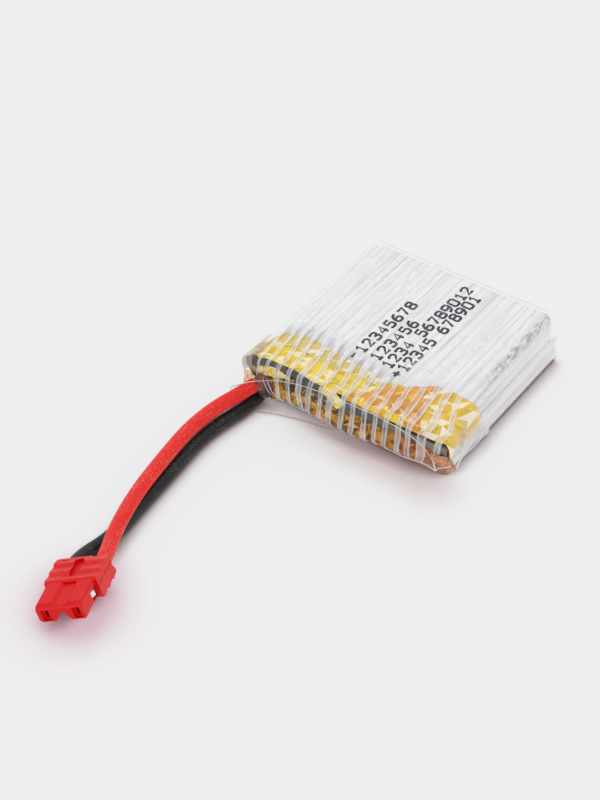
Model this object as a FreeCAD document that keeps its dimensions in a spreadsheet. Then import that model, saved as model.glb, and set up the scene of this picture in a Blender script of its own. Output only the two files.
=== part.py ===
"""A single-cell lithium-polymer pouch battery with its protection board, leads and plug.

Millimetres. +Z is up and the pack lies on z = 0. +Y points at the folded tail of the cell, the
terminal end with the board and the leads faces -Y, and X runs across the pack. The origin is the
centre of the pack's footprint, without the leads and the plug.
"""

import FreeCAD, Part
import math
import os

import Sketcher
from FreeCAD import Placement, Rotation, Vector

os.makedirs("parts", exist_ok=True)
doc = FreeCAD.newDocument("battery_pack")

# ---------------------------------------------------------------- driving sizes

SIZES = (
    # the pouch cell
    ("cell_width", 26.0, "across the cup, without the folded side seals"),
    ("cell_length", 25.0, "from the cup's front wall to the folded tail"),
    ("cell_thick", 7.2, "from the lid's underside to the cup's top"),
    ("cup_round", 1.2, "radius along the cup's top edges"),
    ("cup_corner", 1.4, "radius of the cup's upright corners"),
    ("laminate", 0.12, "aluminium laminate of the pouch"),
    ("seal_rise", 3.7, "height of the folded side seals above the lid's underside"),
    ("seal_thick", 0.28, "two layers of laminate in a folded side seal"),
    ("seal_clear", 0.2, "height over the side seals at which tape and sleeve lean in"),
    ("terrace_width", 22.0, "front seal, folded up against the cup"),
    ("terrace_rise", 4.4, "height of the folded front seal"),
    ("slip", 0.02, "clearance between pieces that lie on each other"),
    # the flat-wound electrodes
    ("winding_turns", 3.0, "turns of each sheet"),
    ("winding_length", 23.4, "along the winding axis"),
    ("winding_gap", 0.06, "between the winding and the cup's top or the lid"),
    ("winding_side_gap", 0.3, "between the winding and the cup's side walls"),
    ("winding_front_gap", 0.75, "room for the tabs between winding and front wall"),
    ("winding_core", 0.2, "radius left free at the middle of the winding"),
    ("separator_thick", 0.07, "one separator sheet"),
    ("sheet_gap", 0.012, "between neighbouring sheets"),
    ("cathode_reach", 22.6, "length of the cathode foil along the winding axis"),
    ("stop_tape_width", 14.0, "tape that closes the winding"),
    # tabs
    ("tab_width", 3.0, "nickel and aluminium tabs"),
    ("tab_thick", 0.08, "thickness of a tab"),
    ("tab_film", 0.03, "sealing film on each face of a tab"),
    ("tab_film_width", 5.0, "width of the sealing film"),
    ("tab_pitch", 10.4, "distance between the two tabs"),
    ("tab_root_rise", 3.9, "height of a tab inside the cup"),
    ("tab_tip_rise", 5.9, "height of a tab's soldered end"),
    # protection board
    ("board_margin", 0.02, "between the board's ends and the cup's sides"),
    ("board_low", 2.3, "lower edge of the board"),
    ("board_high", 6.85, "upper edge of the board"),
    ("board_bevel", 0.65, "cut corners of the board"),
    ("board_thick", 0.6, "glass-epoxy board"),
    ("pad_thick", 0.04, "copper pads of the board"),
    ("solder_rise", 0.45, "height of a solder joint"),
    ("solder_length", 1.4, "length of a solder joint"),
    ("solder_width", 1.1, "width of a solder joint"),
    ("part_space", 1.0, "room in front of the board for its components"),
    ("chip_height", 0.9, "height of the packages above the board"),
    ("chip_wide", 2.9, "package width"),
    ("chip_body", 1.6, "package depth"),
    ("chip_span", 2.8, "over the package's legs"),
    ("chip_level", 4.05, "centre height of the packages"),
    ("chip_lift", 0.06, "gap under a package's body"),
    ("chip_bevel", 0.15, "bevel round a package's face"),
    ("leg_pitch", 0.95, "between neighbouring legs"),
    ("leg_width", 0.4, "width of a leg"),
    ("leg_thick", 0.13, "thickness of a leg's foot"),
    ("leg_foot", 0.35, "length of a leg's foot"),
    ("leg_knee", 0.45, "height of a leg's shoulder"),
    ("passive_level", 3.25, "lower ends of the resistors and the capacitor"),
    ("passive_length", 1.6, "length of a chip resistor or capacitor"),
    ("resistor_width", 0.8, "width of a chip resistor"),
    ("resistor_rise", 0.45, "height of a chip resistor"),
    ("capacitor_width", 0.9, "width of the chip capacitor"),
    ("capacitor_rise", 0.8, "height of the chip capacitor"),
    ("tab_pad_width", 3.4, "pad under a tab"),
    ("tab_pad_low", 4.5, "lower edge of a tab's pad"),
    ("tab_pad_rise", 1.7, "height of a tab's pad"),
    ("lead_pad_width", 2.0, "pad under a lead's tail"),
    ("lead_pad_rise", 1.3, "height of a lead's pad"),
    ("red_pad_inset", 0.5, "red lead's pad from the board's left end"),
    ("red_pad_low", 4.1, "lower edge of the red lead's pad"),
    ("black_pad_inset", 1.5, "black lead's pad from the board's left end"),
    ("black_pad_low", 2.5, "lower edge of the black lead's pad"),
    ("strip_low", 5.95, "lower edge of the insulating strip"),
    # tapes and sleeve
    ("tape_thick", 0.06, "polyimide tape"),
    ("tape_low", 0.6, "lower edge of the yellow tape at the pack's sides"),
    ("tape_lap", 1.2, "how far the yellow tape reaches over the board"),
    ("tape_reach", 8.2, "yellow tape from its front edge to its furthest rear edge"),
    ("patch_width", 11.3, "orange tape folded over the top at the right"),
    ("patch_depth", 3.9, "how far the orange tape reaches over the top"),
    ("patch_start", 0.6, "left end of the folded part of the orange tape"),
    ("film_wall", 0.12, "clear heat-shrink sleeve"),
    ("film_tail", 0.13, "sleeve beyond the cell's tail"),
    ("film_front_round", 1.0, "radius of the sleeve over the board"),
    ("film_corner", 0.45, "lower edges of the sleeve"),
    ("film_turn", 0.55, "upright front edges of the sleeve"),
    ("film_lean", 0.28, "how far the sleeve's sides lean in above the side seals"),
    ("mouth_height", 2.05, "open mouth of the sleeve under the board"),
    ("lead_gap_width", 2.6, "left corner of the mouth, where the leads come out"),
    ("lead_gap_rise", 4.4, "height of the mouth over the leads"),
    # leads
    ("lead_diameter", 1.8, "silicone jacket"),
    ("jacket_reach", 0.32, "jackets inside the sleeve, from the components' front"),
    ("red_exit_inset", 0.85, "red jacket's end from the cup's left side"),
    ("red_exit_level", 2.8, "red jacket's end above the ground"),
    ("black_exit_inset", 0.7, "black jacket's end from the cup's left side"),
    ("black_exit_level", 0.95, "black jacket's end above the ground"),
    ("core_diameter", 0.58, "stranded copper core"),
    ("lead_approach", 1.2, "straight run of a lead behind the plug"),
    # plug
    ("plug_width", 6.4, "over the ribbed rear body"),
    ("plug_height", 2.88, "over the ribbed rear body"),
    ("plug_rear", 4.5, "length of the ribbed rear body"),
    ("plug_length", 8.5, "rear face to finger tips"),
    ("rib_rise", 0.24, "height of a grip rib"),
    ("rib_slope", 0.36, "length of the slope in front of a grip rib"),
    ("parting_level", 0.25, "parting ridge above the plug's middle"),
    ("parting_rise", 0.05, "how far the parting ridge stands out"),
    ("parting_thick", 0.07, "thickness of the parting ridge"),
    ("nose_width", 5.85, "front section over the two fingers"),
    ("nose_drop", 0.13, "front section below the rear body's top"),
    ("nose_lift", 0.5, "front section above the rear body's underside"),
    ("notch_width", 2.0, "between the fingers, at their lower edges"),
    ("notch_top_width", 0.8, "between the fingers, at the top of the notch"),
    ("notch_depth", 1.6, "length of the fingers"),
    ("notch_roof", 1.25, "top of the notch below the rear body's top"),
    ("nose_chamfer", 0.5, "front top edge"),
    ("nose_shoulder", 0.2, "bevel along the sides of the front section's top"),
    ("finger_bevel", 0.4, "lower side edges of the fingers"),
    ("channel_width", 1.3, "floor of the channel on the front section"),
    ("channel_top_width", 2.0, "channel on the front section, at its top"),
    ("channel_depth", 0.26, "depth of the channel"),
    ("mark_length", 0.9, "shallow mark beside the negative lead's entry"),
    ("mark_width", 0.18, "shallow mark beside the negative lead's entry"),
    ("mark_depth", 0.18, "bottom of the mark below the rear body's top"),
    ("mark_start", 0.45, "mark from the rear face"),
    ("rim_radius", 1.5, "flared mouth of the positive lead's entry, at the rear face"),
    ("rim_angle", 32, "flare of that mouth, degrees"),
    ("rim_depth", 0.8, "depth of that mouth"),
    ("slot_width", 1.25, "keyway on the rear body"),
    ("slot_length", 3.1, "length of the keyway"),
    ("slot_start", 0.45, "keyway from the rear face"),
    ("slot_depth", 0.5, "depth of the keyway"),
    ("contact_pitch", 3.8, "between the two contacts"),
    ("bore_gap", 0.08, "between a lead and its entry, all round"),
    ("bore_depth", 2.0, "round entry for a lead"),
    ("cavity_width", 1.1, "contact cavity"),
    ("cavity_height", 1.2, "contact cavity"),
    ("window_length", 1.5, "latch window in each side"),
    ("window_height", 1.3, "latch window in each side"),
    ("window_start", 4.7, "latch window from the rear face"),
    ("pocket_width", 0.95, "mouth of a socket in a finger's face"),
    ("pocket_height", 1.45, "mouth of a socket in a finger's face"),
    ("pocket_depth", 0.32, "mouth of a socket in a finger's face"),
    ("front_wall", 0.5, "wall between that mouth and the contact"),
    ("pin_slot_width", 0.34, "slot for the mating pin through that wall"),
    ("pin_slot_height", 1.0, "slot for the mating pin through that wall"),
    ("pin_slot_drop", 0.16, "that slot below the top of its mouth"),
    ("lance_length", 1.0, "sprung lance that locks a contact in its window"),
    ("lance_height", 0.7, "sprung lance that locks a contact in its window"),
    ("lance_reach", 0.42, "how far the lance stands out of the contact"),
    ("contact_gap", 0.05, "between a contact and its cavity"),
    ("contact_wall", 0.15, "contact sheet"),
    ("socket_length", 3.2, "box socket of a contact"),
    ("crimp_length", 1.4, "conductor crimp"),
    ("crimp_start", 2.4, "conductor crimp from the rear face"),
    ("grip_wall", 0.05, "insulation crimp"),
    ("grip_length", 1.2, "insulation crimp"),
    ("grip_start", 0.35, "insulation crimp from the rear face"),
    ("jacket_entry", 1.35, "jacket inside the plug"),
    ("strand_length", 2.3, "bared strands in a contact"),
    ("plug_x", -10.67, "centre of the plug's rear face"),
    ("plug_y", -48.39, "centre of the plug's rear face"),
    ("plug_z", 2.35, "centre of the plug's rear face"),
    ("plug_yaw", 22.2, "heading of the plug, degrees"),
    ("plug_roll", -20.3, "the plug lies on one lower edge, degrees"),
    ("plug_pitch", -6.0, "the plug's nose is a little raised, degrees"),
)

sheet = doc.addObject("Spreadsheet::Sheet", "dims")
for row, (alias, size, meaning) in enumerate(SIZES, start=1):
    sheet.set("A%d" % row, alias)
    sheet.set("B%d" % row, repr(size))
    sheet.set("C%d" % row, meaning)
    sheet.setAlias("B%d" % row, alias)
doc.recompute()
VALUE = {alias: size for alias, size, _ in SIZES}


def add(*terms):
    """An expression that adds its terms; a bare word is a cell of the sheet."""
    return "(" + " + ".join(cell(term) for term in terms) + ")"


def less(first, *terms):
    """An expression that takes the other terms from the first."""
    return "(" + " - ".join(cell(term) for term in (first, *terms)) + ")"


def neg(term):
    return "(-1 * " + cell(term) + ")"


def half(term):
    return "(" + cell(term) + " / 2)"


def cell(term):
    return "dims." + term if term in VALUE else str(term)


# ---------------------------------------------------------------- levels, front to back

FRONT_STACK = (
    "film_wall", "slip", "tape_thick", "slip", "part_space", "board_thick", "pad_thick",
    "tab_thick", "slip", "laminate", "tab_film", "tab_thick", "tab_film", "laminate", "slip",
)
TOTAL = add(*FRONT_STACK, "cell_length", "film_tail")
FILM_BACK = half(TOTAL)
FILM_FRONT = neg(FILM_BACK)
CELL_BACK = less(FILM_BACK, "film_tail")
CELL_FRONT = less(CELL_BACK, "cell_length")
CUP_SEAL_FRONT = less(CELL_FRONT, "slip", "laminate")
TAB_BACK = less(CUP_SEAL_FRONT, "tab_film")
TAB_FRONT = less(TAB_BACK, "tab_thick")
LID_SEAL_BACK = less(TAB_FRONT, "tab_film")
LID_SEAL_FRONT = less(LID_SEAL_BACK, "laminate")
TIP_BACK = less(LID_SEAL_FRONT, "slip")
TIP_FRONT = less(TIP_BACK, "tab_thick")
BOARD_BACK = less(TIP_FRONT, "pad_thick")
BOARD_FRONT = less(BOARD_BACK, "board_thick")
STACK_FRONT = less(BOARD_FRONT, "part_space")
TAPE_BACK = less(STACK_FRONT, "slip")
TAPE_FRONT = less(TAPE_BACK, "tape_thick")
FILM_INSIDE = less(TAPE_FRONT, "slip")

# ---------------------------------------------------------------- levels, bottom to top

LID_LOW = "dims.film_wall"
LID_HIGH = add("film_wall", "laminate")
CUP_TOP = add("film_wall", "cell_thick")
SEAL_TOP = add("film_wall", "seal_rise")
SHOULDER = add(SEAL_TOP, "seal_clear")
TOP_TAPE_LOW = add(CUP_TOP, "slip")
TOP_TAPE_HIGH = add(TOP_TAPE_LOW, "tape_thick")
PATCH_LOW = add(TOP_TAPE_HIGH, "slip")
PATCH_HIGH = add(PATCH_LOW, "tape_thick")
FILM_ROOF = add(PATCH_HIGH, "slip")
FILM_TOP = add(FILM_ROOF, "film_wall")

# ---------------------------------------------------------------- levels, middle to side

CUP_SIDE = half("cell_width")
BOARD_SIDE = less(CUP_SIDE, "board_margin")
SEAL_IN = add(CUP_SIDE, "slip")
SEAL_OUT = add(SEAL_IN, "seal_thick")
TAPE_IN = add(SEAL_OUT, "slip")
TAPE_OUT = add(TAPE_IN, "tape_thick")
FILM_IN = add(TAPE_OUT, "slip")
FILM_SIDE = add(FILM_IN, "film_wall")

# ---------------------------------------------------------------- helpers


def new_body(name):
    body = doc.addObject("PartDesign::Body", name)
    body.Label = name
    return body


def new_sketch(body, name, role, lift="0"):
    """A sketch on one of the body's own planes, lifted along that plane's normal."""
    sketch = body.newObject("Sketcher::SketchObject", name)
    plane = next(f for f in body.Origin.OriginFeatures if f.Role == role)
    sketch.AttachmentSupport = [(plane, "")]
    sketch.MapMode = "FlatFace"
    sketch.setExpression("AttachmentOffset.Base.z", cell(lift))
    return sketch


def outline(sketch, corners):
    """A closed outline whose corners are pairs of expressions."""
    count = len(corners)
    ring = [
        Vector(10 * math.cos(2 * math.pi * i / count), 10 * math.sin(2 * math.pi * i / count), 0)
        for i in range(count)
    ]
    first = sketch.GeometryCount
    for i in range(count):
        sketch.addGeometry(Part.LineSegment(ring[i], ring[(i + 1) % count]), False)
    for i in range(count):
        link = Sketcher.Constraint("Coincident", first + i, 2, first + (i + 1) % count, 1)
        sketch.addConstraint(link)
    for i, (across, up) in enumerate(corners):
        pin(sketch, "DistanceX", first + i, across, ring[i].x)
        pin(sketch, "DistanceY", first + i, up, ring[i].y)


def pin(sketch, kind, edge, expression, now, point=1):
    """Holds a point of an edge at an expression's distance from the sketch's origin."""
    index = sketch.addConstraint(Sketcher.Constraint(kind, -1, 1, edge, point, now))
    sketch.setExpression("Constraints[%d]" % index, cell(expression))


def rectangle(sketch, left, right, low, high):
    outline(sketch, [(left, low), (right, low), (right, high), (left, high)])


def circle(sketch, across, up, radius):
    edge = sketch.addGeometry(Part.Circle(Vector(1, 1, 0), Vector(0, 0, 1), 1), False)
    pin(sketch, "DistanceX", edge, across, 1, point=3)
    pin(sketch, "DistanceY", edge, up, 1, point=3)
    index = sketch.addConstraint(Sketcher.Constraint("Radius", edge, 1))
    sketch.setExpression("Constraints[%d]" % index, cell(radius))


def extrude(body, name, sketch, length, kind="Pad", backwards=False, midplane=False):
    feature = body.newObject("PartDesign::" + kind, name)
    feature.Profile = sketch
    feature.setExpression("Length", cell(length))
    feature.Reversed = backwards
    feature.Midplane = midplane
    sketch.Visibility = False
    return feature


def soften(body, name, chosen, size, kind="Fillet"):
    """Rounds or bevels the edges that the test picks."""
    doc.recompute()
    base = body.Tip
    edges = ["Edge%d" % (i + 1) for i, edge in enumerate(base.Shape.Edges) if chosen(edge)]
    feature = body.newObject("PartDesign::" + kind, name)
    feature.Base = (base, edges)
    feature.setExpression("Radius" if kind == "Fillet" else "Size", cell(size))
    return feature


def runs_along(edge, axis):
    """Whether a straight edge is parallel to the axis 0, 1 or 2."""
    box = edge.BoundBox
    spans = (box.XLength, box.YLength, box.ZLength)
    return spans[axis] > 1e-6 and sum(spans) - spans[axis] < 1e-6


def cut_from(name, base, tool):
    result = doc.addObject("Part::Cut", name)
    result.Base = base
    result.Tool = tool
    result.Label = name
    return result


def group(name, pieces):
    """Several separate solids in one node."""
    result = doc.addObject("Part::Compound", name)
    result.Links = pieces
    result.Label = name
    return result


def number(expression_source):
    """The value of an expression, worked out by the document."""
    probe = doc.addObject("App::FeaturePython", "probe")
    probe.addProperty("App::PropertyFloat", "Result")
    probe.setExpression("Result", cell(expression_source))
    doc.recompute()
    found = probe.Result
    doc.removeObject(probe.Name)
    return found


def shaped(name, shape):
    feature = doc.addObject("Part::Feature", name)
    feature.Shape = shape
    feature.Label = name
    return feature


# ---------------------------------------------------------------- pouch


BEVEL_FOR_ROUND = 0.7


def cup_block(name, inset, low, back, rim="Fillet"):
    """The drawn shape of the cup: a block with worked upright corners and top edges."""
    body = new_body(name)
    side = less(CUP_SIDE, inset)
    front = add(CELL_FRONT, inset)
    plan = new_sketch(body, name + "_plan", "XY_Plane", low)
    rectangle(plan, neg(side), side, front, back)
    extrude(body, name + "_pad", plan, less(CUP_TOP, inset, low))
    share = 1 if rim == "Fillet" else BEVEL_FOR_ROUND
    soften(body, name + "_corners", lambda e: runs_along(e, 2),
           "(%s * %s)" % (share, less("cup_corner", inset)), rim)
    top = number(less(CUP_TOP, inset))
    soften(body, name + "_rim", lambda e: e.BoundBox.ZMin > top - 1e-6,
           "(%s * %s)" % (share, less("cup_round", inset)), rim)
    return body


def pouch_cup():
    """Deep-drawn half of the pouch, with its share of the front seal folded up."""
    outer = cup_block("cup_outside", "0", LID_HIGH, CELL_BACK)
    seal = new_body("cup_seal")
    side_view = new_sketch(seal, "cup_seal_profile", "YZ_Plane")
    web_low = add(LID_HIGH, "tab_film", "tab_thick", "tab_film")
    web_high = add(web_low, "laminate")
    outline(side_view, [
        (CUP_SEAL_FRONT, web_low),
        (add(CELL_FRONT, "laminate"), web_low),
        (add(CELL_FRONT, "laminate"), web_high),
        (less(CELL_FRONT, "slip"), web_high),
        (less(CELL_FRONT, "slip"), "terrace_rise"),
        (CUP_SEAL_FRONT, "terrace_rise"),
    ])
    extrude(seal, "cup_seal_pad", side_view, "terrace_width", midplane=True)
    whole = doc.addObject("Part::Fuse", "cup_solid")
    whole.Base = outer
    whole.Tool = seal
    inner = cup_block("cup_inside", "laminate", less(LID_HIGH, 1), less(CELL_BACK, "laminate"),
                      rim="Chamfer")
    hollow = cut_from("cup_shell", whole, inner)
    gate = new_body("cup_gate")
    gate_view = new_sketch(gate, "cup_gate_profile", "YZ_Plane")
    rectangle(gate_view, less(CELL_FRONT, 1), add(CELL_FRONT, "laminate"), less(LID_HIGH, 1), web_low)
    extrude(gate, "cup_gate_pad", gate_view, "terrace_width", midplane=True)
    return cut_from("pouch_cup", hollow, gate)


def pouch_lid():
    """Flat half of the pouch: side seals folded up the cup's walls, front seal folded up."""
    body = new_body("pouch_lid")
    section = new_sketch(body, "lid_section", "XZ_Plane", neg(CELL_FRONT))
    outline(section, [
        (neg(SEAL_OUT), LID_LOW), (SEAL_OUT, LID_LOW), (SEAL_OUT, SEAL_TOP), (SEAL_IN, SEAL_TOP),
        (SEAL_IN, LID_HIGH), (neg(SEAL_IN), LID_HIGH), (neg(SEAL_IN), SEAL_TOP),
        (neg(SEAL_OUT), SEAL_TOP),
    ])
    extrude(body, "lid_pad", section, "cell_length", backwards=True)
    fold_line = number(SEAL_OUT)
    floor = number(LID_LOW)
    soften(body, "lid_fold_bevel",
           lambda e: runs_along(e, 1) and e.BoundBox.ZMax < floor + 1e-6 and
           abs(e.BoundBox.XMin) > fold_line - 1e-6, less("seal_thick", 0.01), "Chamfer")
    fold = new_sketch(body, "lid_fold", "YZ_Plane")
    outline(fold, [
        (LID_SEAL_FRONT, LID_LOW), (add(CELL_FRONT, 1), LID_LOW), (add(CELL_FRONT, 1), LID_HIGH),
        (LID_SEAL_BACK, LID_HIGH), (LID_SEAL_BACK, "terrace_rise"),
        (LID_SEAL_FRONT, "terrace_rise"),
    ])
    extrude(body, "lid_fold_pad", fold, "terrace_width", midplane=True)
    return body


# ---------------------------------------------------------------- flat-wound electrodes


def flat_spiral(start_radius, end_radius, pitch, reach):
    """One line of a flat winding, from the middle outwards, as straight runs and half turns.

    The half turns at the left are about (-reach, 0). Those at the right are half a pitch lower,
    so that the line grows by one pitch with every turn.
    """
    edges = []
    radius = start_radius
    while radius < end_radius - 1e-6:
        right = radius + pitch / 2
        low = -radius - pitch
        edges.append(Part.LineSegment(Vector(-reach, 0, radius), Vector(reach, 0, radius)))
        edges.append(Part.Arc(
            Vector(reach, 0, radius), Vector(reach + right, 0, -pitch / 2), Vector(reach, 0, low)
        ))
        edges.append(Part.LineSegment(Vector(reach, 0, low), Vector(-reach, 0, low)))
        radius += pitch
        edges.append(Part.Arc(
            Vector(-reach, 0, -radius), Vector(-reach - radius, 0, 0), Vector(-reach, 0, radius)
        ))
    return [edge.toShape() for edge in edges]


def wound_sheet(name, offset, thick, length, level):
    """A wound sheet: the space between two spirals, closed at both ends."""
    turns = round(VALUE["winding_turns"])
    pitch, reach = winding_pitch(), winding_reach()
    inner_start = VALUE["winding_core"] + offset
    outer_start = inner_start + thick
    inner = flat_spiral(inner_start, inner_start + turns * pitch, pitch, reach)
    outer = flat_spiral(outer_start, outer_start + turns * pitch, pitch, reach)
    start_cap = Part.LineSegment(
        Vector(-reach, 0, inner_start), Vector(-reach, 0, outer_start)).toShape()
    end_cap = Part.LineSegment(
        Vector(-reach, 0, inner_start + turns * pitch),
        Vector(-reach, 0, outer_start + turns * pitch)).toShape()
    wire = Part.Wire(Part.__sortEdges__(inner + outer + [start_cap, end_cap]))
    sheet_shape = Part.Face(wire).extrude(Vector(0, length, 0))
    feature = shaped(name, sheet_shape)
    middle = number(CELL_FRONT) + VALUE["laminate"] + VALUE["winding_front_gap"]
    spare = (VALUE["winding_length"] - length) / 2
    feature.Placement = Placement(Vector(0, middle + spare, level), Rotation())
    return feature


def winding_pitch():
    """The winding grows from its core to the walls in its turns, and by one more pitch below."""
    turns = round(VALUE["winding_turns"])
    room = VALUE["cell_thick"] / 2 - VALUE["laminate"] - VALUE["winding_gap"]
    return (room - VALUE["winding_core"]) / (turns + 1)


def winding_reach():
    """Half the straight part: what the half turns leave of the cup's inner width."""
    turns = round(VALUE["winding_turns"])
    widest = VALUE["winding_core"] + (turns + 1) * winding_pitch()
    room = VALUE["cell_width"] / 2 - VALUE["laminate"] - VALUE["winding_side_gap"]
    return room - widest


def winding():
    """Anode, separator and cathode sheets, which share one pitch."""
    pitch = winding_pitch()
    separator = VALUE["separator_thick"]
    gap = VALUE["sheet_gap"]
    electrode = (pitch - 2 * separator - 4 * gap) / 2
    inside_low = VALUE["film_wall"] + VALUE["laminate"]
    inside_high = VALUE["film_wall"] + VALUE["cell_thick"] - VALUE["laminate"]
    level = (inside_low + inside_high) / 2
    cathode_start = electrode + separator + 2 * gap
    pieces = [
        wound_sheet("anode_winding", 0, electrode, VALUE["winding_length"] - 0.3, level),
        wound_sheet("inner_separator", electrode + gap, separator, VALUE["winding_length"], level),
        wound_sheet("cathode_winding", cathode_start, electrode, VALUE["cathode_reach"], level),
        wound_sheet("outer_separator", cathode_start + electrode + gap, separator,
                    VALUE["winding_length"], level),
    ]
    return pieces


# ---------------------------------------------------------------- tabs


def tab(name, across):
    """A strip from the winding, out between the front seals, up and onto the board."""
    body = new_body(name)
    root_back = add(CELL_FRONT, "laminate", "winding_front_gap", neg("slip"))
    root_front = less(root_back, "tab_thick")
    floor_low = add(LID_HIGH, "tab_film")
    floor_high = add(floor_low, "tab_thick")
    step = add("terrace_rise", 0.3)
    step_top = add(step, "tab_thick")
    side_view = new_sketch(body, name + "_path", "YZ_Plane", across)
    outline(side_view, [
        (root_back, "tab_root_rise"), (root_front, "tab_root_rise"), (root_front, floor_high),
        (TAB_BACK, floor_high), (TAB_BACK, step_top), (TIP_BACK, step_top),
        (TIP_BACK, "tab_tip_rise"), (TIP_FRONT, "tab_tip_rise"), (TIP_FRONT, step),
        (TAB_FRONT, step), (TAB_FRONT, floor_low), (root_back, floor_low),
    ])
    extrude(body, name + "_strip", side_view, "tab_width", midplane=True)
    return body


def tab_seal(name, across):
    """Sealing film that is welded round a tab where the pouch closes over it."""
    body = new_body(name)
    low = add(LID_HIGH, "tab_film", "tab_thick", "tab_film", "laminate", 0.2)
    plan = new_sketch(body, name + "_plan", "XY_Plane", low)
    left = less(across, half("tab_film_width"))
    right = add(across, half("tab_film_width"))
    rectangle(plan, left, right, add(LID_SEAL_BACK, 0.004), less(CUP_SEAL_FRONT, 0.004))
    extrude(body, name + "_pad", plan, less("terrace_rise", low, 0.1))
    slot = new_sketch(body, name + "_slot", "XY_Plane", low)
    slot_left = less(across, half("tab_width"), 0.01)
    slot_right = add(across, half("tab_width"), 0.01)
    rectangle(slot, slot_left, slot_right, less(TAB_FRONT, 0.004), add(TAB_BACK, 0.004))
    extrude(body, name + "_pocket", slot, less("terrace_rise", low), "Pocket", backwards=True)
    return body


# ---------------------------------------------------------------- protection board


def upright_plate(name, left, right, low, high, front, thick):
    """A flat piece that stands across the pack, from its front face backwards."""
    body = new_body(name)
    face = new_sketch(body, name + "_face", "XZ_Plane", neg(front))
    rectangle(face, left, right, low, high)
    extrude(body, name + "_pad", face, thick, backwards=True)
    return body


def circuit_board():
    body = new_body("circuit_board")
    face = new_sketch(body, "board_face", "XZ_Plane", neg(BOARD_FRONT))
    side = BOARD_SIDE
    outline(face, [
        (add(neg(side), "board_bevel"), "board_low"), (less(side, "board_bevel"), "board_low"),
        (side, add("board_low", "board_bevel")), (side, less("board_high", "board_bevel")),
        (less(side, "board_bevel"), "board_high"), (add(neg(side), "board_bevel"), "board_high"),
        (neg(side), less("board_high", "board_bevel")), (neg(side), add("board_low", "board_bevel")),
    ])
    extrude(body, "board_pad", face, "board_thick", backwards=True)
    return body


# where the components stand on the board, as shares of half its length
CHIPS = (("protection_chip", -0.462), ("discharge_switch", -0.108), ("charge_switch", 0.247))
RESISTORS = (-0.686, 0.493, 0.632)
CAPACITOR = 0.786


def on_board(share):
    return "(%s * %s)" % (share, cell(BOARD_SIDE))


def insulating_strip():
    """Black tape-wrapped strip over the components' upper ends."""
    body = upright_plate("insulating_strip", neg(BOARD_SIDE), BOARD_SIDE, "strip_low",
                          "board_high", STACK_FRONT, less("part_space", "slip"))
    top = VALUE["board_high"]
    soften(body, "strip_bevel",
           lambda e: runs_along(e, 1) and e.BoundBox.ZMin > top - 1e-6, "board_bevel", "Chamfer")
    return body


def chip(name, across):
    """A six-legged package: moulded body with bevelled edges and gull-wing legs."""
    body = new_body(name)
    wide = half("chip_wide")
    tall = half("chip_body")
    face = new_sketch(body, name + "_face", "XZ_Plane", less("chip_lift", BOARD_FRONT))
    rectangle(face, less(across, wide), add(across, wide),
              less("chip_level", tall), add("chip_level", tall))
    extrude(body, name + "_body", face, less("chip_height", "chip_lift"))
    outer_face = number(less(BOARD_FRONT, "chip_height"))
    soften(body, name + "_bevel",
           lambda e: e.BoundBox.YMax < outer_face + 1e-6, "chip_bevel", "Chamfer")
    low = less("chip_level", half("chip_span"))
    high = add("chip_level", half("chip_span"))
    for step in (-1, 0, 1):
        place = add(across, "(%d * dims.leg_pitch)" % step)
        left = less(place, half("leg_width"))
        right = add(place, half("leg_width"))
        feet = new_sketch(body, name + "_feet_outline", "XZ_Plane", neg(BOARD_FRONT))
        rectangle(feet, left, right, low, high)
        extrude(body, name + "_feet", feet, "leg_thick")
        knees = new_sketch(body, name + "_knees_outline", "XZ_Plane", neg(BOARD_FRONT))
        rectangle(knees, left, right, add(low, "leg_foot"), less(high, "leg_foot"))
        extrude(body, name + "_knees", knees, "leg_knee")
    return body


def passive(name, across, wide, rise):
    """A two-terminal chip component, standing on the board's front face."""
    return upright_plate(name, less(across, half(wide)), add(across, half(wide)), "passive_level",
                         add("passive_level", "passive_length"), less(BOARD_FRONT, rise), rise)


def solder_pads():
    """Copper pads: two behind the board for the tabs, two in front for the leads."""
    pads = []
    for place in (neg(half("tab_pitch")), half("tab_pitch")):
        pads.append(upright_plate(
            "tab_pad", less(place, half("tab_pad_width")), add(place, half("tab_pad_width")),
            "tab_pad_low", add("tab_pad_low", "tab_pad_rise"), BOARD_BACK, "pad_thick"))
    for inset, low in (("red_pad_inset", "red_pad_low"), ("black_pad_inset", "black_pad_low")):
        left = add(neg(BOARD_SIDE), inset)
        pads.append(upright_plate(
            "lead_pad", left, add(left, "lead_pad_width"), low, add(low, "lead_pad_rise"),
            less(BOARD_FRONT, "pad_thick"), "pad_thick"))
    return group("solder_pads", pads)


def pad_centre(inset, low):
    """Where the middle of a lead's pad is, across the pack and above the ground."""
    return (add(neg(BOARD_SIDE), inset, half("lead_pad_width")), add(low, half("lead_pad_rise")))


RED_PAD = pad_centre("red_pad_inset", "red_pad_low")
BLACK_PAD = pad_centre("black_pad_inset", "black_pad_low")


def solder_joint(name, pad, tail):
    """A low heap of solder on a pad, hollow where the lead's tail lies in it."""
    across, level = pad
    heap = new_body(name + "_heap")
    foot = new_sketch(heap, name + "_foot", "XZ_Plane", less("pad_thick", BOARD_FRONT))
    wide = half("solder_length")
    tall = half("solder_width")
    rectangle(foot, less(across, wide), add(across, wide), less(level, tall), add(level, tall))
    pad = extrude(heap, name + "_pad", foot, "solder_rise")
    pad.TaperAngle = -32
    return cut_from(name, heap, tail)


# ---------------------------------------------------------------- tapes


# The torn rear edge of the yellow tape: shares of the tape's half width and of its reach.
REAR_EDGE = (
    (1.03, 0.60), (0.94, 0.86), (0.69, 0.94), (0.51, 0.84), (0.24, 0.53),
    (-0.03, 0.62), (-0.39, 0.72), (-0.75, 0.76), (-0.94, 0.58), (-1.03, 0.43),
)


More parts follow.
